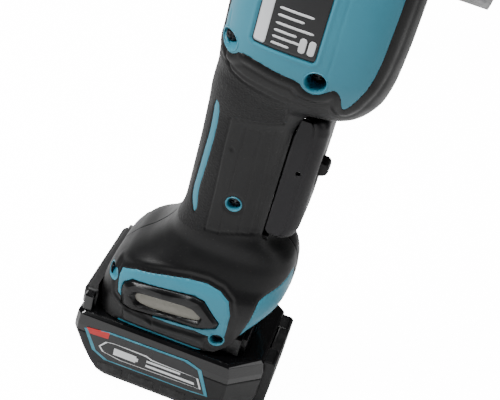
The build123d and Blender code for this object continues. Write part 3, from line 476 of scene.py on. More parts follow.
def soft_least(a, b, width):
    """The smaller of two values, rounded where they are closer than the width."""
    near = np.maximum(width - np.abs(a - b), 0) / width
    return np.minimum(a, b) - near * near * width / 4


def body_distance(x, y, z):
    """Rough distance outside the whole shell: the soft union of grip and motor case."""
    case = -soft_least(-cut_distance(CASE_CUTS, x, y, z), z - CASE_FLOOR, CASE_BLEND)
    return soft_least(cut_distance(BODY_CUTS, x, y, z), case, BODY_BLEND)


def reach(function, far, steps=26):
    """How far along each ray a growing function of distance crosses nought, by halving the bracket."""
    near, far = np.zeros_like(far), far.copy()
    for _ in range(steps):
        middle = (near + far) / 2
        out = function(middle) > 0
        far, near = np.where(out, middle, far), np.where(out, near, middle)
    return (near + far) / 2


def side_of_shell(x, z):
    """Half width of the shell at a place in the side view."""
    x, z = np.broadcast_arrays(np.asarray(x, float), np.asarray(z, float))
    return reach(lambda y: body_distance(x, y, z), np.full(x.shape, 50.0))


# %% Distances to outlines and lines
def softened(corners, rounds=2):
    """A closed outline with its corners cut off again and again, a quarter of each side at a time."""
    corners = np.asarray(corners, float)
    for _ in range(rounds):
        after = np.roll(corners, -1, 0)
        corners = np.stack([0.75 * corners + 0.25 * after, 0.25 * corners + 0.75 * after], 1).reshape(-1, 2)
    return corners


def line_distance(u, v, points):
    """Distance from each place to a chain of straight lines."""
    best = np.full(u.shape, 1e9)
    for (u0, v0), (u1, v1) in zip(points[:-1], points[1:]):
        along = np.clip(((u - u0) * (u1 - u0) + (v - v0) * (v1 - v0)) / ((u1 - u0)**2 + (v1 - v0)**2), 0, 1)
        best = np.minimum(best, np.hypot(u - u0 - along * (u1 - u0), v - v0 - along * (v1 - v0)))
    return best


def outline_depth(u, v, corners):
    """Distance to a closed outline, positive inside. Inside is an odd number of crossings."""
    corners = np.asarray(corners, float)
    loop = np.concatenate([corners, corners[:1]])
    odd = np.zeros(u.shape, bool)
    for (u0, v0), (u1, v1) in zip(loop[:-1], loop[1:]):
        if v0 != v1:
            odd ^= ((v0 > v) != (v1 > v)) & (u < (u1 - u0) * (v - v0) / (v1 - v0) + u0)
    return np.where(odd, 1.0, -1.0) * line_distance(u, v, loop)


def step_up(value, low, high):
    """0 below low, 1 above high, and a smooth slope between."""
    t = np.clip((value - low) / (high - low), 0, 1)
    return t * t * (3 - 2 * t)


def valley(distance, width):
    """1 on a line, falling off like a bell to each side."""
    return np.exp(-(distance / width)**2)


# %% Where the teal shows, in the side view (x, z) and, for the corner, seen along the diagonal
CASE_PANEL = softened([(-14.5, 345), (-15, 275), (-15.9, 256), (-16, 247), (-13.5, 242.3), (-9.4, 240.8),
                       (-5, 242.5), (-2.5, 245.9), (6.5, 245.8), (18.6, 243.4), (31.3, 242.4), (34.4, 238.6),
                       (38.6, 237.4), (42.6, 238.2), (46.6, 241.6), (50.2, 244.6), (54.1, 240.4),
                       (55.6, 233.8), (57.2, 232.0), (61.2, 238.3), (66, 250), (67.8, 262), (68.5, 280),
                       (69, 345)], 1)
FOOT_PANEL = softened([(-35.5, 64), (-38.4, 76.5), (-37.7, 84.6), (-2.5, 93.9), (19.6, 95.8), (32.4, 87),
                       (33, 59), (31, 54.2), (26, 54.6), (23.5, 62), (-11, 58.8), (-14, 62)], 1)
LOW_STRIP = [(-33, 44), (-33, 47.6), (21, 47.9), (23, 44)]
LEDGE = [(-30, 49.4), (-31, 58.6), (-15, 57), (-11.5, 56.6), (22.5, 60), (23.5, 49.4)]
LEDGE_NOTCH = [(-17, 60.5), (-9.5, 60.5), (-11.6, 55.0)]
CORNER_PANEL = softened([(4.8, 50), (5.8, 69), (9.4, 88.5), (12, 93.6), (24, 100.5), (37, 108.5), (38.6, 100),
                         (38.6, 86), (38.6, 50)], 1)
STRIPE = softened([(-6.2, 131.5), (-9.4, 137.5), (-11.0, 144), (-10.4, 158), (-10, 173), (-9.2, 190),
                   (-10.4, 210), (-6.6, 207), (-5.6, 190), (-6.2, 170), (-6.8, 157), (-7.4, 150), (-6.6, 142),
                   (-5.4, 136)], 1)
RIM = np.array([(-90, 46.4), (-14, 46.6), (-6, 49.8), (-1, 54.2), (2.5, 58.5), (6, 65), (8.2, 69.3),
                (14, 75.5), (20, 80.6), (27.3, 86.3), (34, 89.3), (45, 90.0)])
CASE_HOLES = {"case_back": (-9.9, 247.7, 18.0, 5.4, 4.0), "case_front": (39.5, 244.8, 24.0, 6.1, 4.6),
              "grip": (14.8, 148.0, 17.0, 4.4, 3.55), "foot_back": (-43.0, 76.0, 16.0, 3.7, 3.3),
              "foot_front": (28.6, 59.4, 27.0, 4.4, 3.9)}
BEZEL = [(-32.4, 62.0), (-34.2, 70.5), (-33.6, 76), (-28.8, 80.2), (8.8, 85.4), (15.4, 84.2), (27.2, 72.3),
         (26.0, 68.3), (18, 64.6), (-11.4, 60.9), (-28, 60.2)]
WINDOW = np.array([(-33.0, 61.2), (-34.9, 70.5), (-34.3, 76.4), (-29.2, 80.9), (8.9, 86.1), (15.7, 84.9),
                   (28.0, 72.4), (26.7, 67.7), (18.3, 63.9), (-11.3, 60.3), (-28, 59.5)])
CHANNEL_HALF = 19.3
CHANNEL_LEVELS = (131.5, 213.6)
PAD_TOP = [(1.2, 203.2), (29.5, 210.4)]
PAD_BACK = [(1.2, 203.2), (1.3, 180), (2.3, 154), (2.9, 126)]
PAD_INNER = [(30, 203.6), (10.7, 200.6), (10.5, 181), (10.4, 163), (10.8, 144), (11.2, 126.8)]
PAD_FOOT = [(2.9, 126), (11.2, 126.6), (22.9, 130.4), (35, 132.2)]
PAD_RIBS = [[(19.2, 201.5), (19.6, 185), (20.2, 167), (20.9, 149), (21.8, 131)],
            [(25.8, 203), (26.8, 186), (27.5, 169), (28.2, 151), (28.9, 132)]]
GRIP_EDGE = [(-13.5, 262), (-12.4, 246), (-9.5, 237), (-4.3, 232.4), (4.5, 229.6), (27.5, 225.5), (29.2, 222),
             (29.5, 210.4)]
RUBBER_ZONE = [(-40, 116), (2.9, 122), (2.3, 154), (1.2, 180), (1.0, 203.5), (29.5, 210.8), (29.0, 223),
               (4.5, 229.6), (-4.3, 232.4), (-9.5, 237), (-13, 262), (-40, 262)]
GRIP_LINES = ((PAD_TOP, 0.5, 0.5), (PAD_BACK, 0.5, 0.5), (PAD_INNER, 0.35, 0.5), (PAD_FOOT, 0.35, 0.5),
              (PAD_RIBS[0], 0.25, 0.6), (PAD_RIBS[1], 0.25, 0.6), (GRIP_EDGE, 0.6, 0.55))
PLATE = (1.5, 36.7, 255.0, 330.0)
PLATE_CORNER = 2.5


def diagonal(x, y):
    """Place along the diagonal of the front corner, the same on both sides."""
    return (x - np.abs(y)) / np.sqrt(2)


def rim_level(x, y):
    """Height of the foot's lower edge, which climbs round the front corners like a bow."""
    return np.interp(diagonal(x, y), RIM[:, 0], RIM[:, 1])


def teal_depth(x, y, z):
    """Positive where teal plastic shows, as a distance from the edge of the nearest panel."""
    wide = np.abs(y)
    case = np.minimum(outline_depth(x, z, CASE_PANEL), wide - 8)
    foot = np.minimum(outline_depth(x, z, FOOT_PANEL), wide - 20)
    corner = np.minimum(outline_depth(diagonal(x, y), z, CORNER_PANEL), x - 20)
    stripe = np.minimum(outline_depth(x, z, STRIPE), wide - 6)
    low = np.minimum(outline_depth(x, z, LOW_STRIP), wide - 30)
    return np.maximum.reduce([case, foot, corner, stripe, low])


def plate_depth(x, z):
    """Distance inside the nameplate's round-cornered outline."""
    left, right, low, high = PLATE
    dx = np.abs(x - (left + right) / 2) - (right - left) / 2 + PLATE_CORNER
    dz = np.abs(z - (low + high) / 2) - (high - low) / 2 + PLATE_CORNER
    return PLATE_CORNER - np.hypot(np.maximum(dx, 0), np.maximum(dz, 0)) - np.minimum(np.maximum(dx, dz), 0)


# %% Relief: grooves, steps and pads, in millimetres outwards
def relief(x, y, z, right):
    """How far each point of the shell stands out from the smooth form."""
    wide = np.abs(y)
    on_grip = step_up(wide, 10, 14) * step_up(z, 118, 126) * (1 - step_up(z, 262, 270))
    teal = teal_depth(x, y, z)
    out = -0.55 * valley(teal, 0.55) - 0.3 * step_up(teal, 0, 1.2)
    for line, depth, width in GRIP_LINES:
        out -= on_grip * depth * valley(line_distance(x, z, line), width)
    inner_pad = outline_depth(x, z, [(10.5, 200.6), (31, 203.6), (31, 131.5), (11.2, 126.8)])
    out -= on_grip * 0.25 * step_up(inner_pad, 0, 0.8)
    for depth, hole_x, hole_z, radius in ((0.3, *CASE_HOLES["grip"][:2], 6.0), (0.45, 6.0, 183.7, 0.8)):
        out -= depth * valley(np.maximum(np.hypot(x - hole_x, z - hole_z) - radius, 0), 0.7) * on_grip
    seam_y = np.where(x > 10, step_up(z, 86, 90), 1.0)
    out -= 0.35 * valley(wide, 0.35) * seam_y
    foot = outline_depth(x, z, FOOT_PANEL)
    low_side = step_up(wide, 18, 24) * (1 - step_up(z, 110, 118))
    out += low_side * (-0.5 * valley(foot + 2.2, 1.1) + 0.35 * valley(foot + 4.6, 1.2)
                       + 0.25 * valley(foot - 1.6, 0.5))
    ledge = np.minimum(outline_depth(x, z, LEDGE), -outline_depth(x, z, LEDGE_NOTCH))
    out += low_side * 1.1 * step_up(ledge, 0, 0.9)
    corner = outline_depth(diagonal(x, y), z, CORNER_PANEL)
    out += step_up(x, 28, 34) * (1 - step_up(z, 112, 118)) * 0.22 * valley(corner - 1.3, 0.45)
    out -= 1.5 * valley(np.hypot(wide / 15, (z - 124) / 5.5), 1.0) * step_up(x, 34, 40)
    case_ridge = outline_depth(x, z, CASE_PANEL)
    high = step_up(z, 222, 230)
    out += high * (0.5 * valley(case_ridge + 3.2, 1.4) - 0.35 * valley(case_ridge + 6.0, 0.8))
    shoulder = line_distance(x, z, [(-16, 252.5), (-13, 242), (-8, 236.2), (4.5, 233), (28, 229.5), (40, 226.5)])
    out -= high * step_up(wide, 10, 14) * 0.3 * valley(shoulder, 0.7)
    out += -0.3 * valley(line_distance(x, z, [(44.5, 250), (42.8, 330)]), 0.45) * step_up(teal, 0.5, 1.5)
    if right:
        plate = plate_depth(x, z)
        out += 0.35 * valley(plate + 1.4, 0.6) - 0.75 * step_up(plate, -0.5, 0.1)
    return out


# %% The grid of one half: heights by directions
def shell_grid(right):
    """One half of the shell. The heights crowd together where the motor case's underside spreads out,
    and the directions crowd at the seam between the halves."""
    levels = np.concatenate([np.arange(45, 211, 0.85), np.arange(211, 222, 0.32), np.arange(222, 322.3, 0.85),
                             [CASE_TOP]])
    turn = np.linspace(0, 1, 176)
    turn = np.unique(np.concatenate([turn, [0.0012, 0.0028, 0.9972, 0.9988]])) * np.pi
    z, angle = np.meshgrid(levels, turn, indexing="ij")
    centre = 8 + 20 * step_up(z, 205, 228)
    cos, sin = np.cos(angle), np.sin(angle)
    radius = reach(lambda r: body_distance(centre + r * cos, r * sin, z), np.full(z.shape, FAR_OUT))
    x, y = centre + radius * cos, radius * sin * (-1 if right else 1)
    smooth = np.stack([x, y, z], -1)
    normal = np.cross(np.gradient(smooth, axis=1), np.gradient(smooth, axis=0))
    normal *= (-1 if right else 1)
    normal /= np.linalg.norm(normal, axis=-1, keepdims=True)
    normal[:, [0, -1], 1] = 0
    normal *= np.sign((normal[..., 0] * cos + normal[..., 1] * sin * (-1 if right else 1)).mean())
    shaped = smooth + normal * relief(x, y, z, right)[..., None]
    shaped[:, [0, -1], 1] = 0
    stipple = step_up(outline_depth(x, z, RUBBER_ZONE), 0.0, 0.8)
    table = np.concatenate([shaped, smooth, stipple[..., None]], -1).reshape(-1, 7)
    return table, grid_triangles(*z.shape)


def openings_clear(x, y, z):
    """Positive away from every hole in the shell: the paddle's channel, the window and the screw bores."""
    wide = np.abs(y)
    channel = np.minimum.reduce([CHANNEL_HALF - wide, x - 20, z - CHANNEL_LEVELS[0], CHANNEL_LEVELS[1] - z])
    window = np.minimum(outline_depth(x, z, WINDOW), wide - 25)
    clear = -np.maximum(channel, window)
    for hole_x, hole_z, _, mouth, _ in CASE_HOLES.values():
        clear = np.minimum(clear, np.maximum(np.hypot(x - hole_x, z - hole_z) - mouth, 12 - wide))
    return np.minimum(clear, z - rim_level(x, y))


WALL = 2.0
HANDS = (("right", -1), ("left", 1))
for hand in ("right", "left"):
    table, triangles = shell_grid(hand == "right")
    table, triangles = trimmed(table, triangles, openings_clear(*table[:, 3:6].T))
    teal = teal_depth(*table[:, 3:6].T)
    for node, slot, field in (("housing", "teal_plastic", teal), ("overmould", "black_rubber", -teal)):
        part, faces = trimmed(table, triangles, field)
        made = piece(f"{hand}_shell_{slot}", part[:, :3], faces, slot, nodes=(f"{hand}_{node}",),
                     marks={"stipple": part[:, 6]}, flip=hand == "right")
        thicken(made, WALL)
        print(made.name, len(faces), "triangles")

# %% [markdown]
# ## Screw bores
# Each screw sits at the bottom of a smooth bowl in the teal shell. A bowl is a profile of radii and
# depths carried round the screw's axis, and its first rings follow the curved shell exactly.
# %% Bowls and the lips round them
ROUND = 48


def turned(profile, axis_at, start_y, side):
    """Rings round an axis along Y: each (radius, depth, share) is blended between the shell's own
    surface, at share 0, and the flat depth, at share 1. Depths count towards the middle plane."""
    x0, z0 = axis_at
    angle = np.linspace(0, 2 * np.pi, ROUND, endpoint=False)
    radius, depth, share = np.array(profile, float).T[:, :, None]
    x, z = x0 + radius * np.cos(angle), z0 + radius * np.sin(angle)
    surface = side_of_shell(x, z)
    y = (1 - share) * (surface - depth) + share * (start_y - depth)
    return np.stack([x, side * y, z], -1).reshape(-1, 3), grid_triangles(len(profile), ROUND, closed=True)


def capped(points, faces):
    """Closes the last ring with a fan to its middle."""
    last = np.arange(len(points) - ROUND, len(points))
    middle = len(points)
    fan = np.stack([last, np.roll(last, -1), np.full(ROUND, middle)], 1)
    return np.concatenate([points, [points[last].mean(0)]]), np.concatenate([faces, fan])


for hole, (x, z, seat, mouth, throat) in CASE_HOLES.items():
    for hand, side in HANDS:
        profile = [(mouth + 0.5, 1.5, 0), (mouth + 0.5, 0.3, 0), (mouth + 0.25, 0.02, 0), (mouth - 0.1, 0.1, 0),
                   (mouth - 0.35, 0.5, 0), (throat + (mouth - throat) * 0.5, 2.2, 0.1), (throat, 0.0, 0.75),
                   (throat, 0.0, 1), (throat - 0.5, 0.4, 1), (2.2, 0.4, 1)]
        bowl, faces = capped(*turned(profile, (x, z), seat, side))
        slot = "black_rubber" if hole == "foot_back" and side > 0 else "teal_plastic"
        piece(f"{hand}_bowl_{hole}", bowl, faces, slot, flip=side > 0, sharp=50)

# %% [markdown]
# ## Cross-head screws
# The measured screws are plain bars, so heads with a cross pressed into them are added in the right side's
# bores, all but the front one of the foot: a low dome whose height drops inside two crossed, tapering slots.
# %% Screw heads
HEAD_RADIUS = 3.5


def cross_head(x0, y0, z0):
    """Polar grid, radius by angle: dome height minus the cross, which is the smaller of two slot widths."""
    rings, spokes = 22, 64
    radius, angle = np.meshgrid(np.linspace(0.02, HEAD_RADIUS, rings),
                                np.linspace(0, 2 * np.pi, spokes, endpoint=False), indexing="ij")
    u, w = radius * np.cos(angle), radius * np.sin(angle)
    taper = np.clip(1 - radius / 2.5, 0, 1)
    slot = np.maximum(step_up(0.5 - np.abs(u), -0.12, 0.12), step_up(0.5 - np.abs(w), -0.12, 0.12))
    slot = slot * step_up(2.5 - radius, -0.1, 0.3)
    dome = 0.9 - 0.9 * (radius / HEAD_RADIUS)**4
    y = y0 - dome + slot * (0.7 + 1.3 * taper)
    return np.stack([x0 + u, y, z0 + w], -1).reshape(-1, 3), grid_triangles(rings, spokes, closed=True)


heads = [cross_head(x, -seat - 3.1, z) for hole, (x, z, seat, _, _) in CASE_HOLES.items() if hole != "foot_front"]
head_faces = np.concatenate([faces + i * len(heads[0][0]) for i, (_, faces) in enumerate(heads)])
piece("case_screw_heads", np.concatenate([points for points, _ in heads]), head_faces, "screw_steel", sharp=60)
print("screw heads:", len(heads))


# %% [markdown]
# ## Flat plates with shaped outlines
# Tabs, paddle ears and label layers are outlines carried between two planes. Where a bevel width is given,
# their hard edges are then rounded by a Bevel modifier.
# %% Plate helpers
def prism(name, outline, near, far, slot, body="tool", nodes=(), bevel=0.4, finish_name=None, segments=2):
    """Plate from an outline in the side view, between two depths along Y. Near is its visible face."""
    outline = np.asarray(outline, float)
    across, up = outline.T
    if np.sum(across * np.roll(up, -1) - np.roll(across, -1) * up) < 0:
        outline = outline[::-1]
    count = len(outline)
    points = np.concatenate([np.insert(outline, 1, depth, axis=1) for depth in (near, far)])
    ring = np.arange(count)
    after = np.roll(ring, -1)
    sides = np.stack([ring, ring + count, after + count, after], 1).tolist()
    faces = [ring.tolist(), (ring[::-1] + count).tolist()] + sides
    if near > far:
        faces = [face[::-1] for face in faces]
    return block(name, points, faces, slot, body, nodes, finish_name, bevel, segments, 30.0)


def inset(outline, amount, middle):
    """An outline drawn in towards a middle point by about a given amount."""
    outline = np.asarray(outline, float)
    away = outline - middle
    return middle + away * (1 - amount / np.maximum(np.linalg.norm(away, axis=1, keepdims=True), amount + 1e-6))


# %% [markdown]
# ## Dust covers
# A chamfered black frame holds a fine metal mesh in an angular slot. The frame is a stack of
# closed outlines, each at its own depth, so its whole face is one grid.
# %% Frames and meshes
SLOT_MIDDLE = np.array([-4.8, 70.9])
POCKET = [(-28.9, 70.1), (-26.1, 74.8), (9.0, 78.2), (17.5, 72.9), (16.5, 67.6), (-12.4, 64.5), (-24.1, 64.3)]
MESH_EDGE = softened([(-25.9, 70.6), (-23.4, 73.7), (6.0, 76.6), (14.9, 74.2), (16.2, 70.6), (14.0, 68.0),
                      (-12.9, 64.7), (-23.9, 66.0)], 1)
LOOP = 160


def ray_outline(corners, middle, count):
    """Points of a closed outline in evenly spaced directions from a middle: the nearest crossing of each ray."""
    angle = np.linspace(0, 2 * np.pi, count, endpoint=False)
    loop = np.concatenate([corners, corners[:1]]) - middle
    best = np.full(count, 1e9)
    for (u0, v0), (u1, v1) in zip(loop[:-1], loop[1:]):
        cross = np.cos(angle) * (v1 - v0) - np.sin(angle) * (u1 - u0)
        safe = np.where(np.abs(cross) < 1e-9, 1e-9, cross)
        far = (u0 * (v1 - v0) - v0 * (u1 - u0)) / safe
        part = (u0 * np.sin(angle) - v0 * np.cos(angle)) / safe
        best = np.where((far > 0) & (part >= -1e-9) & (part <= 1 + 1e-9), np.minimum(best, far), best)
    return middle + best[:, None] * np.stack([np.cos(angle), np.sin(angle)], 1)


for hand, side in HANDS:
    bezel, pocket, hole = [ray_outline(np.array(edge), SLOT_MIDDLE, LOOP) for edge in (BEZEL, POCKET, MESH_EDGE)]
    stack = [(inset(edge, amount, SLOT_MIDDLE) if amount else edge, depth) for edge, amount, depth in (
        (bezel, 0, 35.0), (bezel, 0, 38.6), (bezel, 0.2, 38.9), (bezel, 2.3, 40.1), (bezel, 2.6, 40.3),
        (pocket, -0.5, 40.38), (pocket, 0, 40.25), (pocket, 0.3, 39.9), (hole, -0.3, 38.5), (hole, 0, 38.3),
        (hole, 0, 35.0))]
    rings = np.stack([np.insert(ring, 1, side * depth, axis=1) for ring, depth in stack])
    piece(f"{hand}_dust_frame", rings.reshape(-1, 3), grid_triangles(len(stack), LOOP, closed=True),
                  "black_plastic", nodes=(f"{hand}_dust_cover",), flip=side > 0, sharp=35)
    rows, columns = 48, 168
    z, x = np.meshgrid(np.linspace(64.0, 77.5, rows), np.linspace(-26.6, 17.0, columns), indexing="ij")
    weave = 0.12 * (np.sin(x * 2 * np.pi / 1.05) * np.sin(z * 2 * np.pi / 1.05))
    sheet = np.stack([x, side * (37.7 + weave), z], -1).reshape(-1, 3)
    screen = piece(f"{hand}_dust_screen", sheet, grid_triangles(rows, columns), "mesh_grey",
                   nodes=(f"{hand}_dust_mesh",), flip=side > 0)
    thicken(screen, 0.5)

# %% [markdown]
# ## Nameplate
# A film that follows the motor case's curve. It is left blank of words: a bright strip, and rows of
# plain bars where the ratings would be printed.
# %% Film, strip and bars


def film(name, x_range, z_range, lift, slot, finish_name=None, rows=40, columns=40, radius=1.2, nodes=()):
    """Round-cornered patch laid on the right side of the shell: each point takes the shell's own depth."""
    z, x = np.meshgrid(np.linspace(*z_range, rows), np.linspace(*x_range, columns), indexing="ij")
    hx, hz = (x_range[1] - x_range[0]) / 2, (z_range[1] - z_range[0]) / 2
    dx, dz = np.abs(x - sum(x_range) / 2) - hx + radius, np.abs(z - sum(z_range) / 2) - hz + radius
    field = radius - np.hypot(np.maximum(dx, 0), np.maximum(dz, 0)) + 1e-4
    y = -(side_of_shell(x, z) + lift)
    table = np.stack([x, y, z], -1).reshape(-1, 3)
    table, faces = trimmed(table, grid_triangles(rows, columns), field.ravel())
    made = piece(name, table, faces, slot, nodes=nodes, finish_name=finish_name)
    thicken(made, 0.12)
    return made


FILM_LIFT, PRINT_LIFT = -0.62, -0.54
film("nameplate_film", (2.1, 36.1), (255.6, 319.0), FILM_LIFT, "label_film", nodes=("nameplate",))
film("nameplate_strip", (2.6, 9.0), (256.4, 318.0), PRINT_LIFT, "label_film", "label_silver", columns=10)
BARS = [(12.0, 258.4, 9.5), (12.0, 262.0, 15.0), (12.0, 265.6, 12.0), (12.0, 269.6, 20.0),
        (12.0, 274.0, 14.0), (12.0, 278.0, 18.0)]
for i, (x, z, length) in enumerate(BARS):
    film(f"nameplate_bar_{i}", (x, x + length), (z, z + 1.3), PRINT_LIFT, "label_film", "label_white", rows=4,
         columns=14, radius=0.3)
for i, x in enumerate((26.2, 31.0)):
    film(f"nameplate_key_{i}", (x, x + 3.6), (258.4, 266.8), PRINT_LIFT, "label_film", "label_white", rows=14,
         columns=10, radius=1.6)

# %% [markdown]
# ## Paddle and its channel
# The paddle is a folded plate with round front corners. Its section is an outline that runs from one
# back edge round the front to the other, and it tapers at both ends. The lock-off tab pokes through a slot.
# %% Paddle
PADDLE_HALF, PADDLE_ROUND = 17.5, 5.0
PADDLE_FRONT = np.array([(134.0, 45.5), (134.6, 47.8), (136.5, 49.8), (141, 51.1), (150, 51.4), (190, 51.4),
                         (205, 51.2), (210, 50.2), (212, 49.0), (212.5, 47.5)])
PADDLE_BACK = np.array([(134.0, 37.5), (136, 35.4), (200, 35.8), (212.5, 37.0)])


def paddle_section(z):
    """Points of one level of the paddle: side, quarter round, front, quarter round, side."""
    turn = np.linspace(0, np.pi / 2, 9)
    side = np.linspace(0, 1, 12)[:, None]
    flat = np.linspace(-1, 1, 40)[1:-1, None]
    front, back = np.interp(z, *PADDLE_FRONT.T), np.interp(z, *PADDLE_BACK.T)
    radius = np.minimum(PADDLE_ROUND, (front - back) * 0.9)
    one = np.ones_like(z)
    arc_x, arc_y = radius * np.sin(turn)[:, None], radius * (1 - np.cos(turn))[:, None]
    x = np.concatenate([back + (front - radius - back) * side, front - radius + arc_x, front * one + 0 * flat,
                        (front - radius + arc_x)[::-1], (back + (front - radius - back) * side)[::-1]])
    y = np.concatenate([-PADDLE_HALF * one + 0 * side, -PADDLE_HALF + arc_y, (PADDLE_HALF - radius) * flat,
                        (PADDLE_HALF - arc_y)[::-1], PADDLE_HALF * one + 0 * side])
    return np.stack([x, y, z * np.ones_like(x)], -1)


paddle_levels = np.unique(np.concatenate([np.linspace(134, 142, 18), np.linspace(142, 200, 70),
                                          np.linspace(200, 212.5, 24)]))
paddle_grid = paddle_section(paddle_levels)
paddle_x, paddle_y, paddle_z = np.moveaxis(paddle_grid, -1, 0)
thumb = np.hypot(paddle_y / 13, (paddle_z - 178) / 34)
paddle_grid[..., 0] -= 0.35 * step_up(1 - thumb, 0, 0.5) * step_up(paddle_x, 50, 51)
slot_field = np.maximum(np.abs(paddle_y) - 5.4, np.abs(paddle_z - 173.5) - 11.5)
pin_field = np.where(np.abs(paddle_y) > 16, np.hypot(paddle_x - 44, paddle_z - 179) - 1.65, 10.0)
paddle_table, paddle_faces = trimmed(paddle_grid.reshape(-1, 3), grid_triangles(*paddle_x.shape),
                                     np.minimum(slot_field, pin_field).ravel())
thicken(piece("paddle_plate", paddle_table, paddle_faces, "charcoal_plastic", body="paddle",
              nodes=("paddle_lever",)), 2.2)

# %% Channel behind the paddle
trough_section = np.array([(34.6, -19.7), (32, -19.7), (29.4, -19.7), (28.4, -19.5), (28, -18.9), (28, -9),
                           (28, 9), (28, 18.9), (28.4, 19.5), (29.4, 19.7), (32, 19.7), (34.6, 19.7)])
trough_levels = np.array([129.9, 129.9, 131, 150, 180, 205, 213.8, 215.2, 215.2])
trough_depth = np.array([10.5, 1.4, 0, 0, 0, 0, 0, 1.4, 14.0])
trough_shape = (len(trough_levels), len(trough_section))
trough = np.stack([np.maximum(trough_section[None, :, 0], 28 + trough_depth[:, None]),
                   np.broadcast_to(trough_section[None, :, 1], trough_shape),
                   np.broadcast_to(trough_levels[:, None], trough_shape)], -1)
thicken(piece("paddle_channel", trough.reshape(-1, 3), grid_triangles(*trough_shape), "black_plastic", sharp=40,
              flip=True), 1.5)

# %% Ears of the paddle, either side of its pivot
EAR_OUTLINE = [(39.5, 204), (46.5, 204), (45.4, 221), (43.8, 223), (40.2, 223), (38.6, 221)]
for i, side in enumerate((-1, 1)):
    prism(f"paddle_ear_{i}", EAR_OUTLINE, side * 7.2, side * 9.4, "charcoal_plastic", body="paddle")

# %% Lock-off tab
TAB_OUTLINE = softened([(41.5, 163.5), (46, 163.5), (47.2, 171.4), (51.5, 171.2), (57.4, 173.2),
                        (58.9, 176.4), (57.6, 181.2), (52.6, 181.6), (47, 183.5), (41.2, 184)], 1)
prism("lock_off_tab", TAB_OUTLINE, -4.8, 4.8, "black_plastic", body="lock_off", nodes=("lock_off_lever",),
      bevel=0.8, segments=3)

# %% [markdown]
# ## Foot floor
# The foot is closed below by a black floor that follows its climbing rim, a little way in from the wall.
# %% Floor of the foot
FLOOR_RINGS = 14
FLOOR_SPOKES = 120
foot_share, foot_turn = np.meshgrid(np.linspace(0.02, 0.955, FLOOR_RINGS),
                                    np.linspace(0, 2 * np.pi, FLOOR_SPOKES, endpoint=False), indexing="ij")
foot_cos, foot_sin = np.cos(foot_turn), np.sin(foot_turn)
foot_x, foot_y = FOOT_X + 40 * foot_share * foot_cos, 34 * foot_share * foot_sin
for _ in range(12):
    foot_z = np.maximum(rim_level(foot_x, foot_y) + 2.2, 62.4)
    foot_radius = reach(lambda r: body_distance(FOOT_X + r * foot_cos, r * foot_sin, foot_z),
                        np.full(foot_z.shape, FAR_OUT))
    foot_x, foot_y = FOOT_X + foot_radius * foot_share * foot_cos, foot_radius * foot_share * foot_sin
foot_floor = np.stack([foot_x, foot_y, foot_z], -1)
thicken(piece("foot_floor", foot_floor.reshape(-1, 3), grid_triangles(FLOOR_RINGS, FLOOR_SPOKES, closed=True),
              "black_plastic", flip=True), 1.6)

# %% [markdown]
# ## Battery
# Each case is a stack of eight-cornered outlines, one for each height, joined by bands and closed by
# two caps. The near corners are cut off, and more so towards the top, which gives the bright bevels.
# %% Stacked outlines
BATTERY_HALF = 42.5


def stacked(name, rings, slot, body="battery", nodes=(), bevel=0.8, segments=3, finish_name=None):
    """Levels of (height, corner list), joined corner to corner and closed at both ends."""
    corners = len(rings[0][1])
    points = [(x, y, z) for z, outline in rings for x, y in outline]
    ring = np.arange(corners)
    bands = [np.stack([ring, np.roll(ring, -1), np.roll(ring, -1) + corners, ring + corners], 1) + corners * level
             for level in range(len(rings) - 1)]
    faces = [ring[::-1].tolist(), (ring + corners * (len(rings) - 1)).tolist()] + np.concatenate(bands).tolist()
    return block(name, points, faces, slot, body, nodes, finish_name, bevel, segments, 12.0)


def cut_corners(back, front, half, cut_x, cut_y, back_cut=3.0):
    """Eight-cornered outline, anticlockwise, with long chamfers at the front and short ones behind."""
    return [(front, -cut_y), (front, cut_y), (cut_x, half), (back + back_cut, half), (back, half - back_cut),
            (back, -half + back_cut), (back + back_cut, -half), (cut_x, -half)]


def corners_of(x, y):
    """Four corners of a rectangle between limits, anticlockwise."""
    return [(x[0], y[0]), (x[1], y[0]), (x[1], y[1]), (x[0], y[1])]


def slab(name, x, y, z, slot, body="battery", nodes=(), bevel=0.6, finish_name=None):
    """Block between limits, with rounded edges."""
    return stacked(name, [(level, corners_of(x, y)) for level in z], slot, body, nodes, bevel, 2, finish_name)


# %% Lower and upper case: height, back, front, half width, and where the near corners are cut
CASES = {
    "lower": ("black_plastic", 0.8, [
        (0.0, -28, 49, 38.5, 36, 24), (1.6, -36, 53, 41.0, 39, 25.5), (4.6, -41, 57, 42.3, 41.5, 26.5),
        (10.0, -45.5, 59.5, 42.5, 42.5, 27), (17.5, -50.4, 61, 42.5, 43, 27), (31.7, -57.8, 61, 42.5, 43, 27)]),
    "upper": ("gloss_black", 0.5, [
        (32.1, -58, 61, 42.5, 43, 27), (37.0, -58, 61, 42.5, 43, 27), (44.4, -57.6, 59.4, 41.6, 41.0, 26.2),
        (46.0, -55.8, 57.6, 39.6, 39.4, 25.4)])}
for part, (slot, bevel, levels) in CASES.items():
    stacked(f"battery_{part}_case", [(level, cut_corners(*limits)) for level, *limits in levels], slot,
            nodes=(f"battery_case_{part}",), bevel=bevel)

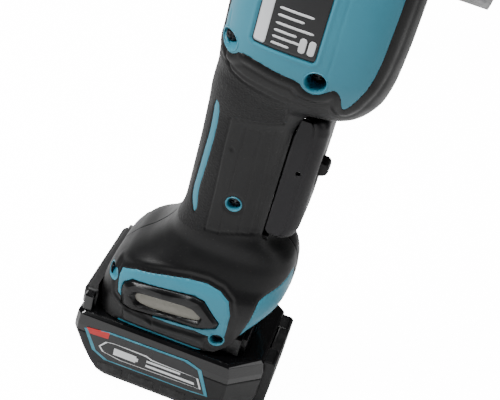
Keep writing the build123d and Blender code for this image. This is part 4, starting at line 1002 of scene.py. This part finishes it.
# %% Rails, contacts, button shroud, button, ribs and shoulders
RAIL_X = (-38, 46)
for part, half, levels in (("neck", 24.7, (45.0, 58.4)), ("lips", 27.7, (52.0, 58.5))):
    slab(f"battery_rail_{part}", RAIL_X, (-half, half), levels, "gloss_black", finish_name="black_plastic")
for i, y in enumerate((-15, -5, 5, 15)):
    slab(f"battery_contact_{i}", (-38.2, -20), (y - 1.3, y + 1.3), (50.0, 58.7), "gloss_black", bevel=0.2,
         finish_name="copper_wire")
for i, side in enumerate((-1, 1)):
    ys = sorted((side * 10.2, side * 24.0))
    stacked(f"battery_boss_{i}", [(level, corners_of(xs, ys)) for level, xs in (
        (6.0, (58, 65.6)), (9.0, (58, 67)), (42.5, (58, 67)), (44.2, (56, 65.0)))], "black_plastic")
slab("battery_boss_sill", (58, 67), (-12, 12), (6.0, 13.5), "black_plastic")
slab("battery_boss_bridge", (60, 66.8), (-12, 12), (41.3, 44.0), "black_plastic", bevel=0.9)
slab("battery_button_face", (59.6, 65.4), (-9, 9), (19.2, 41.0), "black_plastic", body="battery_release",
     bevel=1.2, nodes=("battery_button",))
for i in range(4):
    slab(f"battery_button_ridge_{i}", (65.0, 65.9), (-7, 7), (24.0 + 4 * i, 25.4 + 4 * i), "black_plastic",
         body="battery_release", bevel=0.3)
for i, x in enumerate((-38.0, -17.0, 4.0, 25.0)):
    for j, side in enumerate((-1, 1)):
        slab(f"battery_rib_{i}_{j}", (x, x + 16.5), sorted((side * 41.0, side * 42.95)), (5.6, 11.8),
             "black_plastic", bevel=0.4)
for j, side in enumerate((-1, 1)):
    slab(f"battery_shoulder_{j}", (-55.5, -49.5), sorted((side * 33.4, side * 38.9)), (45.5, 58.0),
         "gloss_black", bevel=1.0)

# %% Battery label, blank of words: teal border, pale flash and a red chip
LABEL = [(-50.4, 35.0), (-43.2, 20.2), (-34.6, 15.2), (23.5, 16.0), (33.9, 17.0), (26.0, 36.0), (16.3, 39.6),
         (-35, 38.6)]
LABEL_MIDDLE = np.array([-8.0, 27.0])
FLASH = [(-39.4, 25.2), (-35.6, 30.4), (-30.5, 31.4), (-9.1, 31.6), (-4.6, 29.9), (25.4, 28.9), (28.8, 21.0),
         (6.4, 20.4), (-24.6, 19.6), (-36.6, 21.6)]
CELLS = [(-29.4, 22.6), (-14.8, 22.6), (-14.8, 23.8), (-13.4, 23.8), (-13.4, 26.6), (-14.8, 26.6),
         (-14.8, 28.0), (-29.4, 28.0)]
LAYERS = [(LABEL, 0.30, "teal_plastic"), (inset(LABEL, 2.5, LABEL_MIDDLE), 0.40, "label_film"),
          (FLASH, 0.47, "label_white"), (inset(FLASH, 1.2, LABEL_MIDDLE), 0.54, "label_film"),
          (CELLS, 0.62, "label_white"),
          ([(-49.0, 36.2), (-46.4, 32.6), (-34.4, 33.4), (-34.2, 38.2)], 0.62, "label_red"),
          ([(-8, 22.6), (24.2, 22.8), (23.4, 24.6), (-8, 24.4)], 0.62, "label_white"),
          ([(-8, 26.4), (14, 26.6), (14, 28.2), (-8, 28.0)], 0.62, "label_white")]
LABEL_SUNK = 0.1
for hand, side in HANDS:
    for layer, (outline, lift, look) in enumerate(LAYERS):
        prism(f"{hand}_label_layer_{layer}", outline, side * (BATTERY_HALF + lift),
              side * (BATTERY_HALF - LABEL_SUNK), "label_film", body="battery",
              nodes=("battery_label",) if layer == 0 else (), bevel=0.0, finish_name=look)
print("battery pieces made")
